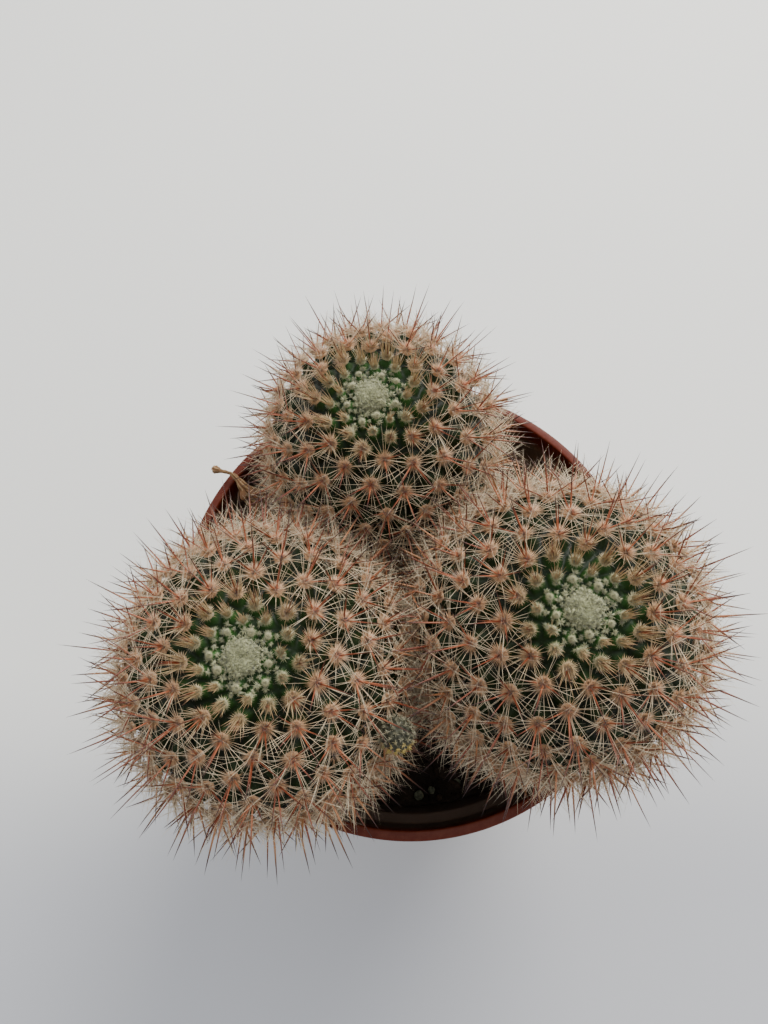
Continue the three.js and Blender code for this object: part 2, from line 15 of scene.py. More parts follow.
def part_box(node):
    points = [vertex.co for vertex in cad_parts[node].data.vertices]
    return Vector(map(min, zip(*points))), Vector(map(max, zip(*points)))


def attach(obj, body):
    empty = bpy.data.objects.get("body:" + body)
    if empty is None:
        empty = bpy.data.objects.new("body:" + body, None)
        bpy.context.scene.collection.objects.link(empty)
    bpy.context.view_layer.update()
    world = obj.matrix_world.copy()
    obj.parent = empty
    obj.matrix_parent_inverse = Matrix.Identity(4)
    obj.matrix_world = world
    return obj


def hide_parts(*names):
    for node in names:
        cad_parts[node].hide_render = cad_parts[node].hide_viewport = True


bl_info = {
    "name": "Potted Round Cactus",
    "version": (1, 0, 0),
    "blender": (4, 5, 0),
    "location": "View3D > Sidebar > Cactus",
    "description": "Builds three round cacti with spines and wool in a nursery pot",
    "category": "Object",
}

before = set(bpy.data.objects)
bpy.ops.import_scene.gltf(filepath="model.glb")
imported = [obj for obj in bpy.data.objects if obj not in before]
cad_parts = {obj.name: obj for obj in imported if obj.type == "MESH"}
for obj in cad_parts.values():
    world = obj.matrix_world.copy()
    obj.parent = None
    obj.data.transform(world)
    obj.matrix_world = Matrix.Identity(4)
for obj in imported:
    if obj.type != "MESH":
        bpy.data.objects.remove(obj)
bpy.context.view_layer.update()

MM = 0.001
GOLDEN_ANGLE = math.pi * (3 - math.sqrt(5))
ABOUT_A_TURN = 6.28
POT_LOW, POT_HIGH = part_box("pot")
POT_HEIGHT = POT_HIGH.z
RIM_RADIUS = POT_HIGH.x

# Each plant stands at an azimuth round the pot, in degrees. Its centre's distance from the pot's axis and its
# radius are shares of the rim's radius. The height of its widest level above the lip is a share of its drop,
# and its rise is the height of its crown over its radius.
PLANTS = {
    "left": dict(azimuth=208.17, out=0.6379, size=0.4988, above=0.75, rise=1.0, tilt=(0.01, -0.07), turn=0.6),
    "right": dict(azimuth=328.16, out=0.6066, size=0.4988, above=0.75, rise=1.02, tilt=(0.02, -0.08), turn=2.1),
    "back": dict(azimuth=90.48, out=0.565, size=0.4353, above=0.675, rise=1.02, tilt=(-0.04, -0.02), turn=4.0),
}

# Distances along the skin from the middle of a crown. Over each pair a plant changes from young to grown.
SKIN_DULLS = (2 * MM, 12 * MM)
PADS_GROW = (4 * MM, 9.5 * MM)
WOOL_BROWNS = (5.5 * MM, 10 * MM)
RADIALS_GROW = (2 * MM, 11 * MM)
CENTRALS_GROW = (4 * MM, 12 * MM)
RADIALS_STRETCH = (17 * MM, 26 * MM)
CENTRALS_AGE = (16 * MM, 30 * MM)
FIRST_RADIALS = 4.6 * MM
FIRST_CENTRALS = 6.5 * MM
FIRST_AXIL_WOOL = 19 * MM


# ------------------------------------------------------------------------------------------------- settings


def length(name, description, default):
    return FloatProperty(name=name, description=description, default=default * MM, unit="LENGTH", precision=5)


def share(name, description, default):
    return FloatProperty(name=name, description=description, default=default, subtype="FACTOR")


def number(name, description, default, least):
    return IntProperty(name=name, description=description, default=default, min=least)


def colour(name, description, default):
    return FloatVectorProperty(
        name=name, description=description, default=default, subtype="COLOR", size=3, min=0, max=1
    )


def spot(name, description, default):
    return FloatVectorProperty(name=name, description=description, default=default, subtype="XYZ")


class PotSettings(bpy.types.PropertyGroup):
    """Sizes and colours of the pot and its soil."""

    lip_width: length("Lip width", "Flat top of the rim", 1.7)
    lip_thickness: length("Lip thickness", "Depth of the lip's outside", 1.8)
    collar_height: length("Collar height", "Upright band under the lip", 12)
    collar_draft: length("Collar draft", "How much narrower the collar is at its foot", 0.6)
    wall: length("Wall", "Thickness of the pot's wall", 1.1)
    ledge: length("Ledge", "Step inside the collar", 1.7)
    foot_radius: length("Foot radius", "Outside radius of the foot", 30)
    floor_thickness: length("Floor thickness", "Thickness of the pot's floor", 1.6)
    drain_count: number("Drain holes", "How many drain holes the floor has", 6, 1)
    drain_radius: length("Drain radius", "Radius of each drain hole", 3)
    drain_circle: length("Drain circle", "Radius of the circle that the holes stand on", 19)
    soil_depth: length("Soil depth", "From the lip down to the soil at the wall", 17)
    soil_crown: length("Soil crown", "How much higher the soil is in the middle", 2)
    soil_lump: length("Soil lump", "Height of the soil's broad lumps", 0.35)
    plastic: colour("Plastic", "Red-brown of the pot", (0.118, 0.0165, 0.0052))
    plastic_worn: colour("Worn plastic", "Paler edge of the lip", (0.17, 0.045, 0.024))
    dust: colour("Dust", "Dry soil that clings to the inside", (0.150, 0.104, 0.075))
    peat: colour("Peat", "Dark potting mix", (0.022, 0.015, 0.010))
    peat_dry: colour("Dry peat", "Paler crumbs of the mix", (0.120, 0.075, 0.045))


class PlantSettings(bpy.types.PropertyGroup):
    """Shape and colours of the stems."""

    neck_radius: length("Neck radius", "Radius of the narrow base", 9)
    drop: length("Drop", "From the widest level down to the neck", 20)
    neck_stand: length("Neck stand", "The neck ends this far above the soil's edge", 5.4)
    root_length: length("Root length", "From the neck's foot to the root's tip", 20)
    lean: share("Lean", "Slope of the leaning base, inwards over down", 0.48)
    lean_start: length("Lean start", "Height over which the base bends into its slope", 8)
    spacing: length("Areole spacing", "Between grown areoles", 4.9)
    young_spacing: length("Young spacing", "Between the youngest areoles", 1.7)
    young_reach: length("Young reach", "Over this far from the crown wool the areoles grow apart", 10.5)
    tubercle: share("Tubercle height", "Share of the local spacing, above the mean skin", 0.33)
    valley: share("Valley depth", "Share of the local spacing, below the mean skin", 0.14)
    bare_base: share("Bare base", "Place on the outline below which no areoles grow", 1.85)
    skin: colour("Skin", "Green of the tubercles", (0.012, 0.024, 0.004))
    # Painted shade: the darker green laid into the valleys between the tubercles stands in for the shade that
    # falls there.
    painted_valley_shade: colour("Valley skin", "Green between the tubercles", (0.003, 0.005, 0.001))
    skin_young: colour("Young skin", "Bright green of the crown", (0.048, 0.145, 0.028))
    skin_fleck: colour("Skin flecks", "Pale dots on the skin", (0.16, 0.24, 0.13))


class SpineSettings(bpy.types.PropertyGroup):
    """Sizes and colours of spines."""

    central_length: length("Central length", "Longest central spines", 9.5)
    central_radius: length("Central radius", "Base radius of a central spine", 0.128)
    central_count: number("Centrals", "Central spines of a grown areole", 4, 1)
    radial_length: length("Radial length", "Longest radial spines", 7.6)
    radial_radius: length("Radial radius", "Base radius of a radial spine", 0.047)
    radial_count: number("Radials", "Radial spines of a grown areole", 24, 3)
    open_from: length("Brushes open from", "Distance from the crown where the brushes begin to open", 7.5)
    open_to: length("Brushes open at", "Distance from the crown where the brushes are open", 11)
    clearance: length("Clearance", "Spines stop this far from other pieces", 0.4)
    central_base: colour("Central base", "Salmon foot of a central spine", (0.56, 0.19, 0.085))
    central_middle: colour("Central middle", "Red-brown of a central spine", (0.225, 0.048, 0.016))
    central_old: colour("Old central", "Tan of the centrals low on a stem", (0.60, 0.31, 0.14))
    central_tip: colour("Central tip", "Dark tip of a central spine", (0.045, 0.012, 0.007))
    radial: colour("Radial", "Cream of a radial spine", (0.82, 0.69, 0.48))
    radial_foot: colour("Radial foot", "Peach foot of a radial spine", (0.74, 0.52, 0.32))
    brush: colour("Brush", "Tan of the closed young brushes", (0.56, 0.40, 0.19))


class WoolSettings(bpy.types.PropertyGroup):
    """Sizes and colours of wool."""

    crown_radius: length("Crown wool radius", "Radius of the felt on a crown", 2.4)
    crown_height: length("Crown wool height", "Height of the felt on a crown", 1.3)
    pad_radius: length("Pad radius", "Wool pad of a grown areole", 1.18)
    young_pad_radius: length("Young pad radius", "Wool pad of the youngest areole", 0.5)
    hair_length: length("Hair length", "Wool hairs of a grown areole", 1.62)
    hair_radius: length("Hair radius", "Base radius of a wool hair", 0.098)
    hair_count: number("Hairs", "Wool hairs of an areole", 108, 8)
    grown: colour("Grown wool", "Beige wool of a grown areole", (0.70, 0.42, 0.225))
    heart: colour("Heart", "Salmon heart of a grown areole", (0.56, 0.13, 0.050))
    young: colour("Young wool", "Green-white wool of the crown", (0.50, 0.50, 0.29))


class SmallSettings(bpy.types.PropertyGroup):
    """Sizes and colours of the small pieces."""

    offset_radius: length("Offset radius", "Radius of the young growth", 2.7)
    offset_skin: colour("Offset skin", "Grey-green of the young growth", (0.062, 0.060, 0.034))
    tuft: colour("Tuft", "Grey-green of the young growth's tufts", (0.22, 0.20, 0.125))
    tuft_pale: colour("Pale tuft", "Palest of its tufts", (0.47, 0.44, 0.31))
    tuft_yellow: colour("Yellow tuft", "Tufts on its side towards -Y", (0.62, 0.47, 0.16))
    petal: colour("Petal", "Dry brown of the withered flower", (0.20, 0.095, 0.040))
    petal_pale: colour("Pale petal", "Pale ribs of the withered flower", (0.40, 0.26, 0.13))
    grit: colour("Grit", "Pale grains on the soil", (0.24, 0.25, 0.16))
    bark: colour("Bark", "Chip of bark", (0.050, 0.030, 0.018))


class StageSettings(bpy.types.PropertyGroup):
    """Camera, floor and lights."""

    camera_place: spot("Camera", "Where the camera stands", (-0.0018, -0.0347, 0.2039))
    camera_tilt: FloatProperty(
        name="Camera tilt", description="From straight down", default=math.radians(20.16), subtype="ANGLE"
    )
    camera_roll: FloatProperty(
        name="Camera roll", description="Turn about its view", default=math.radians(-9.24), subtype="ANGLE"
    )
    lens: FloatProperty(name="Lens", description="Focal length on a 36 mm sensor", default=27.07)
    floor_colour: colour("Floor", "Pale sheet that the pot stands on", (0.95, 0.935, 0.88))
    # Painted shadow: the darker, cooler colour of the sheet's near side stands in for a broad shadow over it.
    painted_shadow_colour: colour("Near floor", "Cooler shade of the sheet's near side", (0.575, 0.575, 0.595))
    window_place: spot("Window place", "Where the large soft light stands", (0.42, 0.56, 0.58))
    fill_place: spot("Fill place", "Where the opposite light stands", (0.5, -0.6, 0.8))
    window_size: length("Window size", "Across the large soft light", 550)
    fill_size: length("Fill size", "Across the opposite light", 600)
    window_colour: colour("Window colour", "Colour of the large soft light", (1.0, 0.985, 0.95))
    fill_colour: colour("Fill colour", "Colour of the opposite light", (0.95, 0.97, 1.0))
    sky_colour: colour("Sky", "Colour of the even light", (0.93, 0.96, 1.0))
    sky_bright: spot("Bright side", "Where the even light is brighter", (0.42, 0.91, 0.0))
    window_power: FloatProperty(name="Window", description="Power of the large soft light", default=8.5)
    fill_power: FloatProperty(name="Fill", description="Power of the opposite light", default=0.4)
    world_strength: FloatProperty(name="World", description="Strength of the even light", default=0.92)


# ---------------------------------------------------------------------------------------------- shader maths


def shaded(tint, factor):
    """A colour made darker or brighter, with no channel past 1."""
    return [min(1, channel * factor) for channel in tint]


def socket_name(key):
    """A keyword as a socket of the Principled surface has it."""
    return key.replace("_", " ").title().replace("Ior", "IOR")


class Wire:
    """A shader socket that takes arithmetic: each operation adds its Math node."""

    def __init__(self, finish, socket):
        self.finish = finish
        self.socket = socket

    def maths(self, operation, *values):
        return self.finish.node("ShaderNodeMath", {"operation": operation}, dict(enumerate(values))).wire(0)

    def __add__(self, other):
        return self.maths("ADD", self, other)

    def __radd__(self, other):
        return self.maths("ADD", other, self)

    def __sub__(self, other):
        return self.maths("SUBTRACT", self, other)

    def __rsub__(self, other):
        return self.maths("SUBTRACT", other, self)

    def __mul__(self, other):
        return self.maths("MULTIPLY", self, other)

    def __rmul__(self, other):
        return self.maths("MULTIPLY", other, self)

    def __pow__(self, other):
        return self.maths("POWER", self, other)

    def span(self, low, high):
        """0 at low, 1 at high, smooth between."""
        settings = {"interpolation_type": "SMOOTHSTEP"}
        values = {"Value": self, "From Min": low, "From Max": high}
        return self.finish.node("ShaderNodeMapRange", settings, values).wire("Result")


class Made:
    """A node that was just added, with its outputs as wires."""

    def __init__(self, finish, node):
        self.finish = finish
        self.node = node

    def wire(self, key):
        return Wire(self.finish, self.node.outputs[key])


class Finish:
    """A material: one Principled surface, whose constants are set on its own sockets."""

    def __init__(self, name, **constants):
        self.material = bpy.data.materials.new(name)
        self.material.use_nodes = True
        self.tree = self.material.node_tree
        self.surface = next(n for n in self.tree.nodes if n.type == "BSDF_PRINCIPLED")
        for key, value in constants.items():
            self.surface.inputs[socket_name(key)].default_value = value

    def node(self, kind, settings=None, inputs=None):
        """Adds a node: its settings first, then the value or the link of each named socket."""
        made = self.tree.nodes.new(kind)
        for key, value in (settings or {}).items():
            if key == "stops":
                self.set_stops(made.color_ramp, value)
            else:
                setattr(made, key, value)
        for key, value in (inputs or {}).items():
            if isinstance(value, Wire):
                self.tree.links.new(value.socket, made.inputs[key])
            else:
                made.inputs[key].default_value = value
        return Made(self, made)

    def set_stops(self, ramp, stops):
        while len(ramp.elements) < len(stops):
            ramp.elements.new(1.0)
        for element, (place, tint) in zip(ramp.elements, stops):
            element.position = place
            element.color = (*tint, 1.0)

    def place(self):
        return self.node("ShaderNodeTexCoord").wire("Object")

    def height(self):
        return self.node("ShaderNodeSeparateXYZ", None, {0: self.place()}).wire("Z")

    def value(self, attribute):
        return self.node("ShaderNodeAttribute", {"attribute_name": attribute}).wire("Fac")

    def noise(self, scale, detail=2.0, roughness=0.5, **more):
        inputs = {"Vector": self.place(), "Scale": scale, "Detail": detail, "Roughness": roughness, **more}
        return self.node("ShaderNodeTexNoise", None, inputs).wire("Fac")

    def cells(self, scale, **more):
        inputs = {"Vector": self.place(), "Scale": scale, **more}
        return self.node("ShaderNodeTexVoronoi", None, inputs).wire("Distance")

    def mix(self, amount, low, high):
        """A colour between two colours."""
        inputs = {
            "Factor": amount,
            "A": low if isinstance(low, Wire) else (*low, 1.0),
            "B": high if isinstance(high, Wire) else (*high, 1.0),
        }
        made = self.node("ShaderNodeMix", {"data_type": "RGBA"})
        for socket in made.node.inputs:
            if socket.enabled and socket.name in inputs:
                given = inputs[socket.name]
                if isinstance(given, Wire):
                    self.tree.links.new(given.socket, socket)
                else:
                    socket.default_value = given
        return Wire(self, next(s for s in made.node.outputs if s.enabled))

    def feed(self, **links):
        for key, wire in links.items():
            self.tree.links.new(wire.socket, self.surface.inputs[socket_name(key)])
        return self

    def bump(self, height, distance, strength=1.0):
        inputs = {"Height": height, "Distance": distance, "Strength": strength}
        return self.feed(normal=self.node("ShaderNodeBump", None, inputs).wire("Normal"))


# ------------------------------------------------------------------------------------------------ mesh maths


def scatter(index, salt):
    """A repeatable number from 0 to 1: the fraction left by a large sine of the index and a salt."""
    wave = np.sin(np.asarray(index, float) * 12.9898 + salt * 78.233) * 43758.5453
    return wave - np.floor(wave)


def smooth(low, high, x):
    """0 below low, 1 above high, a smooth cubic between."""
    u = np.clip((np.asarray(x, float) - low) / (high - low), 0, 1)
    return u * u * (3 - 2 * u)


def lumps(points, size, seed=0.0):
    """Value noise from -1 to 1: random values on a lattice of the given size, blended smoothly between."""
    at = np.asarray(points, float) / size + seed * 17.17
    cell = np.floor(at)
    u = at - cell
    u = u * u * (3 - 2 * u)
    total = np.zeros(at.shape[:-1])
    for corner in np.ndindex(2, 2, 2):
        weight = np.prod(np.where(np.array(corner) == 1, u, 1 - u), axis=-1)
        x, y, z = np.moveaxis(cell + corner, -1, 0)
        wave = np.sin(x * 127.1 + y * 311.7 + z * 74.7 + seed * 13.7) * 43758.5453
        total += weight * (wave - np.floor(wave))
    return 2 * total - 1


def fractal(points, size, seed=0.0, octaves=3):
    """Value noise at halving sizes and halving heights, added."""
    return sum(lumps(points, size / 2**k, seed + k) / 2**k for k in range(octaves))


def unit(vectors):
    return vectors / np.maximum(np.linalg.norm(vectors, axis=-1, keepdims=True), 1e-12)


def any_way(serial, salt):
    """A repeatable direction for each number, drawn from a cube about the origin."""
    return unit(np.stack([scatter(serial, salt + i) for i in range(3)], -1) - 0.5)


def round_turns(sides):
    """Angles of a full turn in equal steps."""
    return np.arange(sides) * 2 * math.pi / sides


def around(radius, turns, height):
    """Points at a radius and a turn about +Z: the radius times the turn's cosine and sine, and the height."""
    return np.stack(np.broadcast_arrays(radius * np.cos(turns), radius * np.sin(turns), height), -1)


def rings(radius, height, turns):
    """Level circles: for each radius and height, a ring of points at the turns."""
    return around(np.asarray(radius)[:, None], turns, np.asarray(height)[:, None])


def rims(direction, sides):
    """Unit circles square to each direction, of so many sides."""
    helper = np.where(np.abs(direction[:, 2:]) < 0.9, [[0.0, 0.0, 1.0]], [[1.0, 0.0, 0.0]])
    across = unit(np.cross(helper, direction))
    along = np.cross(direction, across)
    turns = round_turns(sides)
    return across[:, None] * np.cos(turns)[:, None] + along[:, None] * np.sin(turns)[:, None]


def globe(levels, sides):
    """Points of a unit globe round +Z, from its top pole to its low pole."""
    polar = np.linspace(0, math.pi, levels + 2)[1:-1]
    ring = rings(np.sin(polar), np.cos(polar), round_turns(sides))
    return np.concatenate([[[0, 0, 1.0]], ring.reshape(-1, 3), [[0, 0, -1.0]]])


def chart(*corners):
    """The map of many faces from the two coordinates of each of their corners."""
    return np.stack([np.stack(corner, 1) for corner in corners], 1)


def flipped(faces, maps):
    """Faces and map turned to face the other way."""
    return [np.flip(f, 1) for f in faces], [np.flip(m, 1) for m in maps]


def wrapped(levels, sides, closed=False):
    """Faces and map of a skin wrapped round an axis. Vertex 0 is the first pole, then come the levels from
    it, then the last pole. Where closed, the levels join in a ring and there are no poles."""
    first = 0 if closed else 1
    i, j = np.meshgrid(np.arange(levels if closed else levels - 1), np.arange(sides), indexing="ij")
    i, j = i.ravel(), j.ravel()
    k, after = (j + 1) % sides, (i + 1) % levels
    quads = np.stack([i * sides + j, after * sides + j, after * sides + k, i * sides + k], 1) + first
    spread = levels + 1
    u0, u1, v0, v1 = j / sides, (j + 1) / sides, (i + 1) / spread, (i + 2) / spread
    maps = chart((u0, v0), (u0, v1), (u1, v1), (u1, v0))
    if closed:
        return [quads], [maps]
    j = np.arange(sides)
    k = (j + 1) % sides
    last = levels * sides + 1
    top = np.stack([np.zeros_like(j), j + 1, k + 1], 1)
    low = np.stack([np.full_like(j, last), last - sides + k, last - sides + j], 1)
    u0, u1, um = j / sides, (j + 1) / sides, (j + 0.5) / sides
    near, far = np.full(sides, 1 / spread), np.full(sides, levels / spread)
    top_map = chart((um, 0 * um), (u0, near), (u1, near))
    low_map = chart((um, 0 * um + 1), (u1, far), (u0, far))
    return [quads, top, low], [maps, top_map, low_map]


def copies(count, size, faces, maps):
    """The faces of many like shapes, each of size vertices, with each shape's map in a cell of its own."""
    start = np.arange(count)[:, None, None] * size
    across = math.ceil(math.sqrt(count))
    cell = np.stack([np.arange(count) % across, np.arange(count) // across], 1)[:, None, None, :]
    many = [(f[None] + start).reshape(-1, f.shape[1]) for f in faces]
    charts = [((m[None] * 0.9 + 0.05 + cell) / across).reshape(-1, m.shape[1], 2) for m in maps]
    return many, charts


def thorns(foot, direction, reach, radius, bend, sides, levels, taper=1.5):
    """Closed tapering spines. Each ring's centre is the foot plus the direction times the share of the length,
    plus the bend times its square. The radius is the base's times one less the share to the taper's power."""
    count = len(foot)
    shares = np.linspace(0, 1, levels + 1)[:-1]
    s = shares[None, :, None]
    centres = foot[:, None] + reach[:, None, None] * (direction[:, None] * s + bend[:, None] * s**2)
    widths = radius[:, None] * (1 - shares[None] ** taper)
    stack = centres[:, :, None] + rims(direction, sides)[:, None] * widths[:, :, None, None]
    tip = foot + reach[:, None] * (direction + bend)
    points = np.concatenate([foot[:, None], stack.reshape(count, -1, 3), tip[:, None]], 1)
    faces, maps = copies(count, points.shape[1], *flipped(*wrapped(levels, sides)))
    share_of = np.concatenate([[0.0], np.repeat(shares, sides), [1.0]])
    values = {
        "along": np.tile(share_of, count),
        "chance": np.repeat(scatter(np.arange(count), 3), points.shape[1]),
    }
    return points.reshape(-1, 3), faces, maps, values


def hairs(foot, direction, reach, radius):
    """Closed fine hairs: a cone of three sides on each foot, with its base as one face."""
    foot, direction = foot.reshape(-1, 3), direction.reshape(-1, 3)
    reach, radius = reach.ravel(), radius.ravel()
    count = len(foot)
    ring = foot[:, None] + rims(direction, 3) * radius[:, None, None]
    tip = foot + direction * reach[:, None]
    points = np.concatenate([ring, tip[:, None]], 1)
    shape = np.array([[0, 1, 3], [1, 2, 3], [2, 0, 3], [2, 1, 0]])
    spots = [
        [[0, 0], [0.33, 0], [0.16, 1]],
        [[0.33, 0], [0.66, 0], [0.5, 1]],
        [[0.66, 0], [1, 0], [0.83, 1]],
        [[0, 0.6], [0.2, 0.6], [0.1, 0.9]],
    ]
    faces, maps = copies(count, 4, [shape], [np.array(spots)])
    chance = scatter(np.arange(count), 3)
    values = {"along": np.tile([0.0, 0.0, 0.0, 1.0], count), "chance": np.repeat(chance, 4)}
    return points.reshape(-1, 3), faces, maps, values


def put(name, points, faces, maps, finish, slot, nodes, values=None):
    """Makes one piece of the object from arrays, rides it on the root body and hides the CAD parts that it
    stands for.
    """
    mesh = bpy.data.meshes.new(name)
    mesh.vertices.add(len(points))
    mesh.vertices.foreach_set("co", np.asarray(points, np.float32).ravel())
    sizes = np.concatenate([np.full(len(f), f.shape[1]) for f in faces])
    mesh.loops.add(int(sizes.sum()))
    mesh.loops.foreach_set("vertex_index", np.concatenate([f.ravel() for f in faces]).astype(np.int32))
    mesh.polygons.add(len(sizes))
    mesh.polygons.foreach_set("loop_start", np.concatenate([[0], np.cumsum(sizes)[:-1]]).astype(np.int32))
    mesh.polygons.foreach_set("use_smooth", np.ones(len(sizes), bool))
    layer = mesh.uv_layers.new(name="OFBake")
    spots = np.concatenate([m.reshape(-1, 2) for m in maps])
    layer.uv.foreach_set("vector", spots.astype(np.float32).ravel())
    for key, value in (values or {}).items():
        attribute = mesh.attributes.new(key, "FLOAT", "POINT")
        attribute.data.foreach_set("value", np.asarray(value, np.float32))
    mesh.update(calc_edges=True)
    mesh.validate()
    mesh.materials.append(finish.material)
    piece = bpy.data.objects.new(name, mesh)
    bpy.context.scene.collection.objects.link(piece)
    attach(piece, "root")
    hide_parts(*nodes)
    return piece


def joined(batches):
    """Several batches of points, faces, maps and values as one."""
    points, faces, maps, values = [], [], [], {}
    start = 0
    for part, part_faces, part_maps, part_values in batches:
        points.append(part)
        faces += [f + start for f in part_faces]
        maps += part_maps
        for key, value in part_values.items():
            values.setdefault(key, []).append(value)
        start += len(part)
    return np.concatenate(points), faces, maps, {key: np.concatenate(value) for key, value in values.items()}


# --------------------------------------------------------------------------------------------------- pot


def inner_radius(pot, z):
    """The pot's inside radius at heights: a straight taper in the collar and another in the body."""
    collar_foot = POT_HEIGHT - pot.collar_height
    collar_top = RIM_RADIUS - pot.lip_width
    collar = collar_top - pot.collar_draft * (POT_HEIGHT - z) / pot.collar_height
    body_top = collar_top - pot.collar_draft - pot.ledge
    body_foot = pot.foot_radius - pot.wall
    up = (z - pot.floor_thickness) / (collar_foot - pot.floor_thickness)
    return np.where(z >= collar_foot, collar, body_foot + (body_top - body_foot) * up)


def soil_height(pot, x, y):
    """A low dome with broad lumps, level at the wall."""
    edge = POT_HEIGHT - pot.soil_depth
    away = np.minimum(1, np.hypot(x, y) / inner_radius(pot, edge))
    u, v = x / MM, y / MM
    waves = np.sin(u * 0.61 + 1) * np.cos(v * 0.53) + 0.6 * np.sin(u * 0.29 - v * 0.47 + 2)
    return edge + pot.soil_crown * (1 - away**2) + pot.soil_lump * waves * (1 - away**4)


def rounded(profile, radius, steps=4):
    """A closed outline with each corner cut back by up to the radius and replaced by a quadratic curve."""
    profile = np.asarray(profile, float)
    before, after = np.roll(profile, 1, 0), np.roll(profile, -1, 0)
    back, on = before - profile, after - profile
    shorter = np.minimum(np.linalg.norm(back, axis=1), np.linalg.norm(on, axis=1))
    reach = np.minimum(radius, 0.45 * shorter)[:, None]
    start, end = profile + unit(back) * reach, profile + unit(on) * reach
    u = np.linspace(0, 1, steps)[None, :, None]
    curve = (1 - u) ** 2 * start[:, None] + 2 * u * (1 - u) * profile[:, None] + u**2 * end[:, None]
    return curve.reshape(-1, 2)


def pot_profile(pot):
    """The wall's closed section, from the middle of the floor: out along the foot, up the outside, over the
    lip and down the inside. A pinhole is left at the axis."""
    collar_foot = POT_HEIGHT - pot.collar_height
    lip_foot = POT_HEIGHT - pot.lip_thickness
    body_top = RIM_RADIUS - pot.lip_width - pot.collar_draft - pot.ledge
    collar_low = float(inner_radius(pot, collar_foot))
    pinhole = 0.4 * MM
    return [
        (pinhole, 0),
        (pot.foot_radius, 0),
        (body_top + pot.wall, collar_foot - pot.wall),
        (collar_low + pot.wall, collar_foot - pot.wall),
        (float(inner_radius(pot, lip_foot)) + pot.wall, lip_foot),
        (RIM_RADIUS, lip_foot),
        (RIM_RADIUS, POT_HEIGHT),
        (RIM_RADIUS - pot.lip_width, POT_HEIGHT),
        (collar_low, collar_foot),
        (body_top, collar_foot),
        (pot.foot_radius - pot.wall, pot.floor_thickness),
        (pinhole, pot.floor_thickness),
    ]


def spaced(outline, step):
    """Points added along a closed outline, so that no two are further apart than the step."""
    after = np.roll(outline, -1, 0)
    parts = []
    for here, there in zip(outline, after):
        count = max(1, math.ceil(np.linalg.norm(there - here) / step))
        parts.append(here + (there - here) * np.arange(count)[:, None] / count)
    return np.concatenate(parts)


def lathe(outline, sides):
    """A closed outline of radius and height carried round the axis."""
    points = rings(outline[:, 0], outline[:, 1], round_turns(sides)).reshape(-1, 3)
    return points, *flipped(*wrapped(len(outline), sides, closed=True))


# ------------------------------------------------------------------------------------------------- plants


